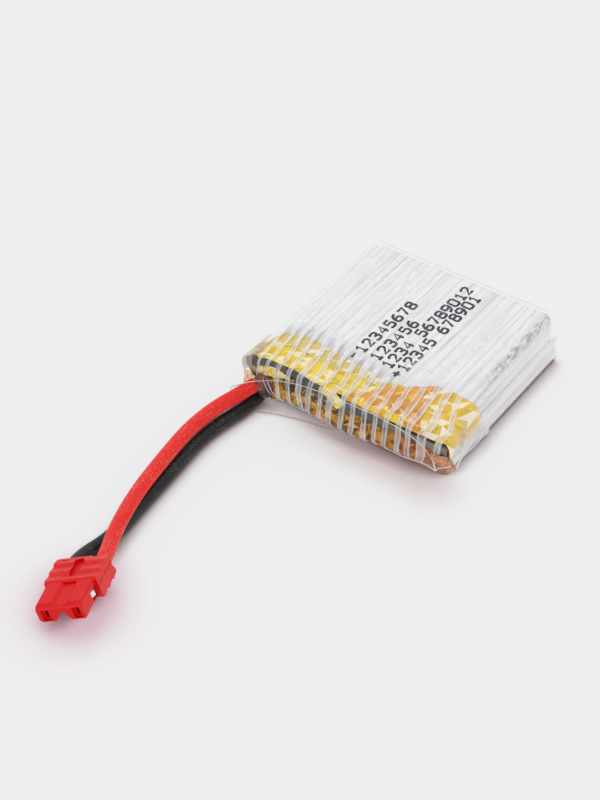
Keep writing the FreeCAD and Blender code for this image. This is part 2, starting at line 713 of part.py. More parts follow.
def hood(name, side, lean, low, high, front, back, rounding):
    """A block with upright lower sides, sides that lean in above, and round upper edges."""
    body = new_body(name)
    section = new_sketch(body, name + "_section", "XZ_Plane", neg(front))
    corner = less(CUP_TOP, "cup_round")
    outline(section, [
        (neg(side), low), (side, low), (side, SHOULDER), (lean, corner), (lean, high),
        (neg(lean), high), (neg(lean), corner), (neg(side), SHOULDER),
    ])
    extrude(body, name + "_pad", section, less(back, front), backwards=True)
    roof = number(high)
    soften(body, name + "_edges",
           lambda e: runs_along(e, 1) and e.BoundBox.ZMin > roof - 1e-6, rounding)
    return body


def top_tape():
    """Yellow tape over the cell's terminal end, wrapped down both sides."""
    front = less(BOARD_BACK, "tape_lap")
    back = add(front, "tape_reach")
    lean_in = add(CUP_SIDE, "slip")
    outer = hood("tape_outside", TAPE_OUT, add(lean_in, "tape_thick"), "tape_low",
                 TOP_TAPE_HIGH, front, back, add("cup_round", "tape_thick"))
    inner = hood("tape_inside", TAPE_IN, lean_in, less("tape_low", 1),
                 TOP_TAPE_LOW, less(front, 1), add(back, 1), "cup_round")
    band = cut_from("tape_band", outer, inner)
    trim = new_body("tape_trim")
    edge = new_sketch(trim, "tape_trim_edge", "XY_Plane")
    points = [
        ("(%s * %s)" % (x, TAPE_OUT), add(front, "(%s * dims.tape_reach)" % y))
        for x, y in REAR_EDGE
    ]
    beyond = add(back, 1)
    outline(edge, points + [(points[-1][0], beyond), (points[0][0], beyond)])
    extrude(trim, "tape_trim_pad", edge, add(FILM_TOP, 1))
    return cut_from("top_tape", band, trim)


def front_tape():
    """Orange tape over the components, folded over the top at its right half."""
    body = new_body("front_tape")
    face = new_sketch(body, "front_tape_face", "XZ_Plane", neg(TAPE_FRONT))
    left = neg(BOARD_SIDE)
    right = BOARD_SIDE
    bend = less(FILM_TOP, "film_front_round")
    notch_side = add(left, "lead_gap_width")
    outline(face, [
        (notch_side, "board_low"), (right, "board_low"), (right, bend),
        (left, bend), (left, "lead_gap_rise"), (notch_side, "lead_gap_rise"),
    ])
    extrude(body, "front_tape_pad", face, "tape_thick", backwards=True)
    shape = lap_profile()
    side_view = new_sketch(body, "front_tape_lap", "YZ_Plane", "patch_start")
    for edge in shape:
        side_view.addGeometry(edge, False)
    extrude(body, "front_tape_fold", side_view, "patch_width")
    return body


def lap_profile():
    """The folded part of the orange tape: up the front, round the edge and back over the top."""
    outer = number(TAPE_FRONT)
    thick = VALUE["tape_thick"]
    high = number(PATCH_HIGH)
    middle_z = number(less(FILM_TOP, "film_front_round"))
    big = high - middle_z
    middle_y = outer + big
    end = outer + VALUE["patch_depth"]
    start = middle_z - 0.4
    slant = math.sqrt(0.5)

    def bend(radius):
        return Part.Arc(
            Vector(middle_y - radius, middle_z, 0),
            Vector(middle_y - radius * slant, middle_z + radius * slant, 0),
            Vector(middle_y, middle_z + radius, 0))

    small = big - thick
    return [
        Part.LineSegment(Vector(outer, start, 0), Vector(outer, middle_z, 0)),
        bend(big),
        Part.LineSegment(Vector(middle_y, high, 0), Vector(end, high, 0)),
        Part.LineSegment(Vector(end, high, 0), Vector(end, high - thick, 0)),
        Part.LineSegment(Vector(end, high - thick, 0), Vector(middle_y, high - thick, 0)),
        bend(small),
        Part.LineSegment(Vector(middle_y - small, middle_z, 0), Vector(outer + thick, start, 0)),
        Part.LineSegment(Vector(outer + thick, start, 0), Vector(outer, start, 0)),
    ]


# ---------------------------------------------------------------- shrink sleeve


def sleeve_block(name, inset, front, back, front_round):
    """The sleeve's outer or inner form: flat below, leaning sides, rounded front edges."""
    body = new_body(name)
    section = new_sketch(body, name + "_section", "XZ_Plane", neg(front))
    side = less(FILM_SIDE, inset)
    lean = less(side, "film_lean")
    low = cell(inset)
    high = less(FILM_TOP, inset)
    foot = less(side, less("film_corner", inset))
    corner = less(CUP_TOP, "cup_round")
    outline(section, [
        (neg(foot), low), (foot, low), (side, "film_corner"), (side, SHOULDER), (lean, corner),
        (lean, high), (neg(lean), high), (neg(lean), corner), (neg(side), SHOULDER),
        (neg(side), "film_corner"),
    ])
    extrude(body, name + "_pad", section, less(back, front), backwards=True)
    roof = number(high)
    soften(body, name + "_edges",
           lambda e: runs_along(e, 1) and e.BoundBox.ZMin > roof - 1e-6,
           less(add("cup_round", 0.1), inset))
    brow = new_body(name + "_brow")
    side_view = new_sketch(brow, name + "_brow_plan", "XY_Plane", less(low, 1))
    rectangle(side_view, neg(side), side, front, add(back, 1))
    extrude(brow, name + "_brow_pad", side_view, add(less(high, low), 1))
    face = number(front)
    soften(brow, name + "_brow_corners",
           lambda e: runs_along(e, 2) and e.BoundBox.YMax < face + 1e-6, less("film_turn", inset))
    soften(brow, name + "_brow_edge",
           lambda e: runs_along(e, 0) and e.BoundBox.YMax < face + 1e-6 and
           e.BoundBox.ZMin > roof - 1e-6, front_round)
    whole = doc.addObject("Part::Common", name + "_form")
    whole.Base = body
    whole.Tool = brow
    return whole


def shrink_sleeve():
    """Clear tube shrunk round the pack: open at the tail, with a mouth under the board."""
    outer = sleeve_block("sleeve_outside", "0", FILM_FRONT, FILM_BACK, "film_front_round")
    inner = sleeve_block("sleeve_inside", "film_wall", FILM_INSIDE, add(FILM_BACK, 1),
                         less("film_front_round", "film_wall"))
    tube = cut_from("sleeve_tube", outer, inner)
    mouth = new_body("sleeve_mouth")
    face = new_sketch(mouth, "sleeve_mouth_face", "XZ_Plane", neg(less(FILM_FRONT, 1)))
    left = neg(FILM_IN)
    gap_side = add(neg(BOARD_SIDE), "lead_gap_width")
    outline(face, [
        (left, "film_wall"), (FILM_IN, "film_wall"), (FILM_IN, "mouth_height"),
        (gap_side, "mouth_height"), (gap_side, "lead_gap_rise"), (left, "lead_gap_rise"),
    ])
    extrude(mouth, "sleeve_mouth_pad", face, add(1, "film_wall", 0.01), backwards=True)
    return cut_from("shrink_sleeve", tube, mouth)


# ---------------------------------------------------------------- leads

RED_ROUTE = (
    (-12.95, -16.0, 2.77), (-14.1, -19.7, 2.76), (-14.45, -24.4, 2.76), (-13.85, -30.0, 2.76),
    (-12.95, -36.4, 2.78), (-11.3, -42.4, 2.8),
)
BLACK_ROUTE = (
    (-12.35, -16.0, 0.92), (-13.15, -19.6, 0.92), (-13.35, -24.0, 0.92), (-12.85, -29.4, 0.92),
    (-12.6, -36.0, 0.92), (-11.9, -42.4, 0.98),
)
SHARE_OF_RUN = 0.45


def soft_line(points):
    """Straight runs joined by tangent arcs, each as large as its two runs allow."""
    corners = [Vector(*point) for point in points]
    edges = []
    radii = []
    start = corners[0]
    for before, here, after in zip(corners, corners[1:], corners[2:]):
        into = (here - before).normalize()
        out = (after - here).normalize()
        turn = into.getAngle(out)
        shorter = min((here - before).Length, (after - here).Length)
        set_back = SHARE_OF_RUN * shorter
        radius = set_back / math.tan(turn / 2)
        radii.append(radius)
        first = here - into * set_back
        last = here + out * set_back
        towards = (out - into).normalize()
        middle = here + towards * (radius / math.cos(turn / 2) - radius)
        edges.append(Part.LineSegment(start, first).toShape())
        edges.append(Part.Arc(first, middle, last).toShape())
        start = last
    edges.append(Part.LineSegment(start, corners[-1]).toShape())
    return Part.Wire(edges), radii


def tube(name, points, diameter):
    """A round cord along a route, checked against its section times its length."""
    line, radii = soft_line(points)
    start = Vector(*points[0])
    heading = (Vector(*points[1]) - start).normalize()
    section = Part.Wire(Part.Circle(start, heading, diameter / 2).toShape())
    solid = line.makePipeShell([section], True, False)
    expected = math.pi * diameter ** 2 / 4 * line.Length
    print("%s: length %.2f, tightest radius %.2f, volume %.3f of %.3f; radii %s" % (
        name, line.Length, min(radii), solid.Volume, expected,
        " ".join("%.1f" % radius for radius in radii)))
    assert abs(solid.Volume - expected) < 0.01 * expected
    return shaped(name, solid)


def jacket_end(inset, level):
    """Where a jacket ends inside the left corner of the sleeve's mouth."""
    return (number(add(neg(CUP_SIDE), inset)), number(add(STACK_FRONT, "jacket_reach")),
            VALUE[level])


def lead_tail(name, start, pad):
    """The bared and tinned end of a lead, bent over and laid across its pad."""
    radius = VALUE["core_diameter"] / 2
    on_pad = number(less(BOARD_FRONT, "pad_thick")) - radius - VALUE["slip"]
    across, level = number(pad[0]), number(pad[1])
    x, y, z = start
    begin = Vector(x, y + VALUE["slip"], z)
    reach = VALUE["lead_pad_width"] / 2 - radius
    turn_x = max(x + radius / 4, across - reach)
    line = Part.makePolygon([
        begin, Vector(x, on_pad, z), Vector(turn_x, on_pad, level),
        Vector(across + reach, on_pad, level)])
    section = Part.Wire(Part.Circle(begin, Vector(0, 1, 0), radius).toShape())
    return shaped(name, line.makePipeShell([section], True, False, 1))


def into_plug(start, route, sign):
    """A whole route, with its last run in line with the plug's entry and its end inside."""
    across = sign * VALUE["contact_pitch"] / 2
    pose = plug_pose()
    behind = pose.multVec(Vector(across, VALUE["lead_approach"], 0))
    inside = pose.multVec(Vector(across, -VALUE["jacket_entry"], 0))
    return [start, *route, tuple(behind), tuple(inside)]


# ---------------------------------------------------------------- plug

# The plug is drawn with the centre of its rear face at the origin and its fingers towards -Y.


def plug_pose():
    return Placement(
        Vector(VALUE["plug_x"], VALUE["plug_y"], VALUE["plug_z"]),
        Rotation(VALUE["plug_yaw"], VALUE["plug_roll"], VALUE["plug_pitch"]))


def ribbed_side(top):
    """Half the rear body's side view: three grip ribs, each with a slope at its front."""
    low = less(top, "rib_rise")
    points = [("0", low)]
    for rib in (1, 2, 3):
        ahead = "(-1 * %d * dims.plug_rear / 3)" % rib
        points += [(add(ahead, "rib_slope"), top), (ahead, low)]
    return points


def plug_housing():
    """Moulded housing: ribbed rear body, keyway, two fingers, contact cavities, side windows."""
    top = half("plug_height")
    rear = new_body("plug_rear_body")
    view = new_sketch(rear, "plug_rear_view", "YZ_Plane")
    upper = ribbed_side(top)
    outline(view, upper + [(y, neg(z)) for y, z in reversed(upper)])
    extrude(rear, "plug_rear_pad", view, "plug_width", midplane=True)
    ridge = new_sketch(rear, "plug_parting_view", "YZ_Plane")
    rectangle(ridge, less("slip", "plug_rear"), neg("slip"),
              less("parting_level", half("parting_thick")),
              add("parting_level", half("parting_thick")))
    extrude(rear, "plug_parting_ridge", ridge, add("plug_width", "parting_rise", "parting_rise"),
            midplane=True)
    solid = doc.addObject("Part::Fuse", "plug_solid")
    solid.Base = rear
    solid.Tool = plug_nose(top)
    holes = doc.addObject("Part::MultiFuse", "plug_holes")
    holes.Shapes = plug_holes(top)
    housing = cut_from("plug_housing", solid, holes)
    housing.Placement = plug_pose()
    return housing


def plug_nose(top):
    """Front section with its bevelled front top edge and the notch between the fingers."""
    nose = new_body("plug_nose")
    high = less(top, "nose_drop")
    low = add(neg(top), "nose_lift")
    tip = neg("plug_length")
    overlap = neg(less("plug_rear", 0.5))
    view = new_sketch(nose, "plug_nose_view", "YZ_Plane")
    outline(view, [
        (overlap, low), (add(tip, 0.15), low), (tip, add(low, 0.15)),
        (tip, less(high, "nose_chamfer")), (add(tip, "nose_chamfer"), high), (overlap, high),
    ])
    extrude(nose, "plug_nose_pad", view, "nose_width", midplane=True)
    edges_low = number(low)
    soften(nose, "plug_finger_bevel",
           lambda e: runs_along(e, 1) and e.BoundBox.ZMax < edges_low + 1e-6,
           "finger_bevel", "Chamfer")
    edges_high = number(high)
    soften(nose, "plug_shoulder_bevel",
           lambda e: runs_along(e, 1) and e.BoundBox.ZMin > edges_high - 1e-6,
           "nose_shoulder", "Chamfer")
    notch = new_sketch(nose, "plug_notch_view", "XZ_Plane", "dims.plug_length")
    roof = less(top, "notch_roof")
    wide = half("notch_width")
    narrow = half("notch_top_width")
    outline(notch, [
        (neg(wide), less(low, 1)), (wide, less(low, 1)), (wide, low),
        (narrow, roof), (neg(narrow), roof), (neg(wide), low),
    ])
    extrude(nose, "plug_notch", notch, "notch_depth", "Pocket")
    channel = new_sketch(nose, "plug_channel_view", "XZ_Plane", "dims.plug_length")
    floor = less(high, "channel_depth")
    outline(channel, [
        (neg(half("channel_width")), floor), (half("channel_width"), floor),
        (half("channel_top_width"), high), (half("channel_top_width"), add(high, 1)),
        (neg(half("channel_top_width")), add(high, 1)), (neg(half("channel_top_width")), high),
    ])
    extrude(nose, "plug_channel", channel, less("plug_length", "plug_rear"), "Pocket")
    return nose


def plug_holes(top):
    """Everything that is cut from the housing: keyway, mark, entries, cavities and windows."""
    keyway = new_body("plug_keyway")
    plan = new_sketch(keyway, "plug_keyway_plan", "XY_Plane", less(top, "slot_depth"))
    rear = neg("slot_start")
    front = less(rear, "slot_length")
    rectangle(plan, neg(half("slot_width")), half("slot_width"), front, rear)
    extrude(keyway, "plug_keyway_pad", plan, add("slot_depth", 1))
    soften(keyway, "plug_keyway_ends", lambda e: runs_along(e, 2), less(half("slot_width"), 0.02))
    mark = new_body("plug_mark")
    bar = new_sketch(mark, "plug_mark_plan", "XY_Plane", less(top, "mark_depth"))
    middle = neg(half("contact_pitch"))
    rectangle(bar, less(middle, half("mark_length")), add(middle, half("mark_length")),
              neg(add("mark_start", "mark_width")), neg("mark_start"))
    extrude(mark, "plug_mark_pad", bar, add("mark_depth", 1))
    cuts = [keyway, mark, entry_rim("(dims.contact_pitch / 2)")]
    for sign in (-1, 1):
        centre = "(%d * dims.contact_pitch / 2)" % sign
        cuts.append(entry_bore(centre))
        cuts.append(contact_cavity(centre))
        cuts.append(finger_mouth(centre))
        cuts.append(side_window(sign))
    return cuts


def entry_rim(centre):
    """The flared mouth of the positive lead's entry, which breaks out of the top as an arc."""
    rim = new_body("plug_rim")
    mouth = new_sketch(rim, "plug_rim_mouth", "XZ_Plane")
    circle(mouth, centre, "0", "rim_radius")
    pad = extrude(rim, "plug_rim_pad", mouth, "rim_depth")
    pad.setExpression("TaperAngle", "-dims.rim_angle")
    return rim


def entry_bore(centre):
    bore = new_body("plug_entry")
    mouth = new_sketch(bore, "plug_entry_mouth", "XZ_Plane", neg(1))
    circle(mouth, centre, "0", add(half("lead_diameter"), "bore_gap"))
    extrude(bore, "plug_entry_pad", mouth, add(1, "bore_depth"))
    return bore


def contact_cavity(centre):
    cavity = new_body("plug_cavity")
    face = new_sketch(cavity, "plug_cavity_face", "XZ_Plane", less("bore_depth", 0.1))
    wide = half("cavity_width")
    tall = half("cavity_height")
    rectangle(face, less(centre, wide), add(centre, wide), neg(tall), tall)
    extrude(cavity, "plug_cavity_pad", face,
            less("plug_length", "pocket_depth", "front_wall", "bore_depth", neg(0.1)))
    return cavity


def finger_mouth(centre):
    """The wide mouth in a finger's face and the slot for the mating pin behind it."""
    mouth = new_body("plug_mouth")
    front = less("plug_length", "pocket_depth")
    face = new_sketch(mouth, "plug_mouth_face", "XZ_Plane", front)
    wide = half("pocket_width")
    tall = half("pocket_height")
    rectangle(face, less(centre, wide), add(centre, wide), neg(tall), tall)
    extrude(mouth, "plug_mouth_pad", face, add("pocket_depth", 1))
    slot = new_sketch(mouth, "plug_slot_face", "XZ_Plane", less(front, "front_wall", "slip"))
    narrow = half("pin_slot_width")
    rectangle(slot, less(centre, narrow), add(centre, narrow),
              less(tall, "pin_slot_height", "pin_slot_drop"), less(tall, "pin_slot_drop"))
    extrude(mouth, "plug_slot_pad", slot, add("front_wall", "slip", half("pocket_depth")))
    return mouth


def side_window(sign):
    window = new_body("plug_window")
    inner = add(half("contact_pitch"), half("cavity_width"), neg(0.05))
    face = new_sketch(window, "plug_window_face", "YZ_Plane", inner if sign > 0 else neg(inner))
    rear = neg("window_start")
    rectangle(face, less(rear, "window_length"), rear,
              neg(half("window_height")), half("window_height"))
    extrude(window, "plug_window_pad", face, 3, backwards=sign < 0)
    return window


def contact(name, sign):
    """Crimp contact: box socket with a locking lance, conductor crimp and insulation crimp."""
    centre = "(%d * dims.contact_pitch / 2)" % sign
    body = new_body(name)
    wide = less(half("cavity_width"), "contact_gap")
    tall = less(half("cavity_height"), "contact_gap")
    socket_front = less("plug_length", "pocket_depth", "front_wall", "contact_gap")
    socket_rear = less(socket_front, "socket_length")
    section = new_sketch(body, name + "_socket", "XZ_Plane", socket_rear)
    rectangle(section, less(centre, wide), add(centre, wide), neg(tall), tall)
    rectangle(section, less(centre, wide, neg("contact_wall")), add(centre, wide, neg("contact_wall")),
              add(neg(tall), "contact_wall"), less(tall, "contact_wall"))
    extrude(body, name + "_socket_pad", section, "socket_length")
    lance = new_sketch(body, name + "_lance", "XY_Plane")
    root = add(half("contact_pitch"), wide)
    front = less("contact_gap", "window_start", "window_length")
    rear = add(front, "lance_length")
    inner = less(root, half("contact_wall"))
    outline(lance, [(x if sign > 0 else neg(x), y) for x, y in (
        (inner, front), (root, front), (add(root, "lance_reach"), rear),
        (add(inner, "lance_reach"), rear))])
    extrude(body, name + "_lance_pad", lance, "lance_height", midplane=True)
    crimp = new_sketch(body, name + "_crimp", "XZ_Plane", "crimp_start")
    core = add(half("core_diameter"), "slip")
    hexagon(crimp, centre, core)
    hexagon(crimp, centre, add(core, "contact_wall"))
    extrude(body, name + "_crimp_pad", crimp, "crimp_length")
    grip = new_sketch(body, name + "_grip", "XZ_Plane", "grip_start")
    jacket = add(half("lead_diameter"), half("slip"))
    circle(grip, centre, "0", jacket)
    circle(grip, centre, "0", add(jacket, "grip_wall"))
    extrude(body, name + "_grip_pad", grip, "grip_length")
    return body


def hexagon(sketch, centre, apothem):
    """A regular outline of six sides about a centre, flat at its top and bottom."""
    tip = "(%s / cos(30))" % cell(apothem)
    shoulder = "(%s * tan(30))" % cell(apothem)
    outline(sketch, [
        (less(centre, tip), "0"), (less(centre, shoulder), neg(apothem)),
        (add(centre, shoulder), neg(apothem)), (add(centre, tip), "0"),
        (add(centre, shoulder), apothem), (less(centre, shoulder), apothem),
    ])


def contact_floor(name, sign):
    """Floor strip that joins the socket and both crimps, with its step down to the jacket."""
    centre = "(%d * dims.contact_pitch / 2)" % sign
    body = new_body(name)
    rear = neg(add("jacket_entry", "slip"))
    top = neg(add(half("core_diameter"), "slip", "(dims.contact_wall / 4)"))
    low = less(top, "contact_wall")
    view = new_sketch(body, name + "_view", "YZ_Plane", centre)
    step = neg(add(half("lead_diameter"), half("grip_wall")))
    outline(view, [
        (rear, top), (neg(less("plug_length", 3)), top), (neg(less("plug_length", 3)), low),
        (less(rear, "contact_wall"), low), (less(rear, "contact_wall"), step), (rear, step),
    ])
    extrude(body, name + "_pad", view, 0.5, midplane=True)
    return body


def strands(name, sign):
    body = new_body(name)
    end = new_sketch(body, name + "_end", "XZ_Plane", add("jacket_entry", "slip"))
    circle(end, "(%d * dims.contact_pitch / 2)" % sign, "0", half("core_diameter"))
    extrude(body, name + "_pad", end, "strand_length")
    body.Placement = plug_pose()
    return body


# ---------------------------------------------------------------- make the pack

tab_side = half("tab_pitch")
red_exit = jacket_end("red_exit_inset", "red_exit_level")
black_exit = jacket_end("black_exit_inset", "black_exit_level")
red_tail = lead_tail("red_lead_tail", red_exit, RED_PAD)
black_tail = lead_tail("black_lead_tail", black_exit, BLACK_PAD)
nodes = [
    pouch_cup(),
    pouch_lid(),
    *winding(),
    tab("negative_tab", neg(tab_side)),
    tab("positive_tab", tab_side),
    tab_seal("negative_tab_seal", neg(tab_side)),
    tab_seal("positive_tab_seal", tab_side),
    circuit_board(),
    solder_pads(),
    *(chip(name, on_board(share)) for name, share in CHIPS),
    group("resistors", [
        passive("resistor", on_board(share), "resistor_width", "resistor_rise")
        for share in RESISTORS]),
    passive("capacitor", on_board(CAPACITOR), "capacitor_width", "capacitor_rise"),
    insulating_strip(),
    top_tape(),
    front_tape(),
    shrink_sleeve(),
    tube("red_lead", into_plug(red_exit, RED_ROUTE, 1), VALUE["lead_diameter"]),
    tube("black_lead", into_plug(black_exit, BLACK_ROUTE, -1), VALUE["lead_diameter"]),
    red_tail,
    black_tail,
    group("solder_joints", [
        solder_joint("red_solder", RED_PAD, red_tail),
        solder_joint("black_solder", BLACK_PAD, black_tail),
    ]),
    plug_housing(),
    strands("red_strands", 1),
    strands("black_strands", -1),
]
for name, sign in (("positive_contact", 1), ("negative_contact", -1)):
    whole = doc.addObject("Part::Fuse", name)
    whole.Base = contact(name + "_shell", sign)
    whole.Tool = contact_floor(name + "_floor", sign)
    whole.Label = name
    whole.Placement = plug_pose()
    nodes.append(whole)

doc.recompute()
for item in doc.Objects:
    if {"Invalid", "Error"} & set(item.State):
        raise RuntimeError("%s has failed: %s" % (item.Name, item.State))
for node in nodes:
    shape = node.Shape
    if shape.isNull() or not shape.isValid() or not shape.Solids:
        raise RuntimeError("%s has no sound shape" % node.Label)
for node in nodes:
    node.Shape.exportStep("parts/%s.step" % node.Label)
    box = node.Shape.BoundBox
    print("%-20s %d solid(s) %8.3f mm3  x %.2f..%.2f  y %.2f..%.2f  z %.2f..%.2f" % (
        node.Label, len(node.Shape.Solids), node.Shape.Volume,
        box.XMin, box.XMax, box.YMin, box.YMax, box.ZMin, box.ZMax))
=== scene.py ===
# %% [markdown]
# # A small battery pack, dressed for its portrait
# The solids of the pack come from a CAD model and are already the right size. This notebook adds
# what a solid leaves out: the pleated film that is shrunk round it, the crinkled tapes, the
# printed digits, and a finish for every surface. Lengths are written in millimetres and
# multiplied by MM, because Blender works in metres.

import math
import random

import bmesh
import bpy
from mathutils import Matrix, Vector, noise


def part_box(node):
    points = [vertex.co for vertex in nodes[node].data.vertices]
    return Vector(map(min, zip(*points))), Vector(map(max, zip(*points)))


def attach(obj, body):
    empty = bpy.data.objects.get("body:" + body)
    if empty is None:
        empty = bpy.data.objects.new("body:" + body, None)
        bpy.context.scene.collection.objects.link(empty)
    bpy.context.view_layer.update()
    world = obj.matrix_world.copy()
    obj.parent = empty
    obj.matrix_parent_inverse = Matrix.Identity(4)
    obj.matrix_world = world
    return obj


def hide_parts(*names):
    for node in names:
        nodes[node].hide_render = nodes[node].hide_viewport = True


MM = 0.001
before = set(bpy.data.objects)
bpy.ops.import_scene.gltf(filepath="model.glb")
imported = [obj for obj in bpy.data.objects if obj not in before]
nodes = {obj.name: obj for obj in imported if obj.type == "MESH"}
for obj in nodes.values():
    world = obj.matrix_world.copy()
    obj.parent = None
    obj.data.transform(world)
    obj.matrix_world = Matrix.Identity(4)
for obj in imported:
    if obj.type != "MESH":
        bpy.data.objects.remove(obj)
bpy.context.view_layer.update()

# %% [markdown]
# ## The camera
# A long lens from some way off keeps the pack's edges nearly parallel. The camera stands to the
# right of the terminal end and looks down at about 42 degrees, so that the top, the taped end
# and one side all show.

# %% Camera
AIM = Vector((-8.32, -10.29, 0)) * MM
CAMERA_PLACE = Vector((108.97, -180.62, 184.4)) * MM
LENS = 102.99
SENSOR_WIDTH = 36


def add_object(name, data):
    thing = bpy.data.objects.new(name, data)
    bpy.context.collection.objects.link(thing)
    print("made", name)
    return thing


camera_data = bpy.data.cameras.new("camera")
camera_data.lens = LENS
camera_data.sensor_width = SENSOR_WIDTH
camera_data.clip_start = 0.005
camera = add_object("camera", camera_data)
camera.location = CAMERA_PLACE
camera.rotation_euler = (AIM - CAMERA_PLACE).to_track_quat("-Z", "Y").to_euler()
bpy.context.scene.camera = camera
print("camera distance in mm:", round((AIM - CAMERA_PLACE).length / MM, 1))

# %% [markdown]
# ## Helpers for materials
# Every finish is a node tree round one Principled BSDF. A few short pieces of code keep the
# trees readable. A Value is what one node gives to others, and it can be added, multiplied,
# spread over a range or used to mix two colours. Places on the object are in millimetres, and
# noise is fixed to the object, so that it stays put when the view changes.

# %% Node helpers
class Value:
    """A number, colour or shader in a node tree. Its sums and products add nodes."""

    def __init__(self, tree, socket):
        self.tree = tree
        self.socket = socket

    def calc(self, operation, other=0.5):
        return new_value(self.tree, "Math", 0, {0: self, 1: other}, operation=operation)

    def __add__(self, other):
        return self.calc("ADD", other)

    def __sub__(self, other):
        return self.calc("SUBTRACT", other)

    def __mul__(self, other):
        return self.calc("MULTIPLY", other)

    def __abs__(self):
        return self.calc("ABSOLUTE")

    def off_step(self):
        """How far it is from the middle between two whole numbers, from 0 to 0.5."""
        return abs(self.calc("FRACT") - 0.5)

    def span(self, low, high, to_low=0, to_high=1):
        """Spread the range from low to high over another one, and stop at both ends."""
        return new_value(self.tree, "MapRange", "Result", {
            "Value": self, "From Min": low, "From Max": high, "To Min": to_low, "To Max": to_high})

    def fall(self, low, high, top=1):
        """From the top value at low down to 0 at high."""
        return self.span(low, high, top, 0)

    def mix(self, first, second, blend="MIX"):
        """The first colour where it is 0, and the second where it is 1."""
        return new_value(self.tree, "Mix", 2, {0: self, 6: first, 7: second},
                         data_type="RGBA", blend_type=blend)

    def bump(self, distance, strength=1):
        """The normal of a surface that has it as a height; the distance is in millimetres."""
        return new_value(self.tree, "Bump", "Normal", {
            "Height": self, "Distance": distance * MM, "Strength": strength})


def feed(socket, value):
    """Give a socket a Value or something fixed; a fixed colour comes without its alpha."""
    if isinstance(value, Value):
        value.tree.links.new(value.socket, socket)
    else:
        socket.default_value = (*value, 1) if socket.type == "RGBA" else value


def add_node(tree, kind, sockets=None, **settings):
    node = tree.nodes.new("ShaderNode" + kind)
    for key, value in settings.items():
        setattr(node, key, value)
    for key, value in (sockets or {}).items():
        feed(node.inputs[key], value)
    return node


def new_value(tree, kind, output, sockets=None, **settings):
    return Value(tree, add_node(tree, kind, sockets, **settings).outputs[output])


def object_position(tree, scale=(1, 1, 1)):
    """Positions on the object, stretched; the scale is in units per millimetre."""
    return new_value(tree, "Mapping", "Vector", {
        "Vector": new_value(tree, "TexCoord", "Object"), "Scale": [s / MM for s in scale]})


def object_axes(tree):
    """The three co-ordinates on the object, in millimetres."""
    node = add_node(tree, "SeparateXYZ", {"Vector": object_position(tree)})
    return [Value(tree, socket) for socket in node.outputs]


def noise_value(tree, scale, detail=3, roughness=0.55, distortion=0):
    return new_value(tree, "TexNoise", "Fac", {
        "Vector": object_position(tree, scale), "Scale": 1, "Detail": detail,
        "Roughness": roughness, "Distortion": distortion})


def mix_shaders(tree, factor, first, second):
    return new_value(tree, "MixShader", 0, {0: factor, 1: first, 2: second})


def new_material(name):
    material = bpy.data.materials.new(name)
    material.use_nodes = True
    material.node_tree.nodes.clear()
    print("finish", name)
    return material, material.node_tree


def show(material, shader):
    add_node(material.node_tree, "OutputMaterial", {"Surface": shader})
    return material


def finish_surface(material, **sockets):
    return show(material, new_value(material.node_tree, "BsdfPrincipled", "BSDF", {
        key.replace("_", " "): value for key, value in sockets.items()}))


# %% [markdown]
# A light mottling appears on nearly everything here: on silicone, on moulded plastic and on
# solder. It is built once as a node group with a scale and an amount, and each material gives it
# its own values.

# %% The shared mottling group
GREY = (0.5, 0.5, 0.5)
COAT_ROUGHNESS = 0.15


def new_group(name, inputs, outputs):
    """A node group with named sockets; a number makes a value, and a tuple a colour.

    It comes with what flows in, and with the sockets that its results are fed to."""
    group = bpy.data.node_groups.new(name, "ShaderNodeTree")
    for in_out, sockets in (("INPUT", inputs), ("OUTPUT", outputs)):
        for label, fixed in sockets.items():
            colour = isinstance(fixed, tuple)
            socket = group.interface.new_socket(
                label, in_out=in_out,
                socket_type="NodeSocketColor" if colour else "NodeSocketFloat")
            socket.default_value = (*fixed, 1) if colour else fixed
    entry = group.nodes.new("NodeGroupInput")
    outside = group.nodes.new("NodeGroupOutput")
    return group, [Value(group, entry.outputs[label]) for label in inputs], outside.inputs


def place_group(tree, group, **values):
    """Put a group into a material with its own values, and give its outputs."""
    node = add_node(tree, "Group", values, node_tree=group)
    return [Value(tree, socket) for socket in node.outputs]


def build_mottle_group():
    group, (colour, scale, amount), outside = new_group(
        "mottle", {"Colour": GREY, "Scale": 1, "Amount": 0.1}, {"Colour": GREY, "Height": 0})
    cloud = new_value(group, "TexNoise", "Fac", {
        "Vector": new_value(group, "TexCoord", "Object"), "Scale": scale * (1 / MM),
        "Detail": 4, "Roughness": 0.6})
    factor = (cloud - 0.5) * amount * 4 + 1
    feed(outside["Colour"], new_value(group, "VectorMath", "Vector",
                                      {0: colour, "Scale": factor}, operation="SCALE"))
    feed(outside["Height"], cloud)
    return group


MOTTLE = build_mottle_group()


def mottle(tree, colour, scale, amount):
    return place_group(tree, MOTTLE, Colour=colour, Scale=scale, Amount=amount)


def plain_finish(name, colour, roughness, scale=0.8, amount=0.06, metallic=0, coat=0,
                 relief=0.01):
    """One mottled colour; the scale and the amount are the mottling's."""
    material, tree = new_material(name)
    tone, height = mottle(tree, colour, scale, amount)
    return finish_surface(
        material, Base_Color=tone, Roughness=roughness, Metallic=metallic,
        Normal=height.bump(relief), Coat_Weight=coat, Coat_Roughness=COAT_ROUGHNESS)


def paint(material, *node_names):
    for name in node_names:
        nodes[name].data.materials.clear()
        nodes[name].data.materials.append(material)


# %% [markdown]
# ## The two leads
# Each lead is a soft silicone jacket round fine strands. The black one lies on the floor and the
# red one rides on it, from the corner of the pack to the plug. A NURBS curve with a round bevel
# follows the same points as the solid in the CAD model, so its length is the real one, about
# 37 mm from jacket end to jacket end.

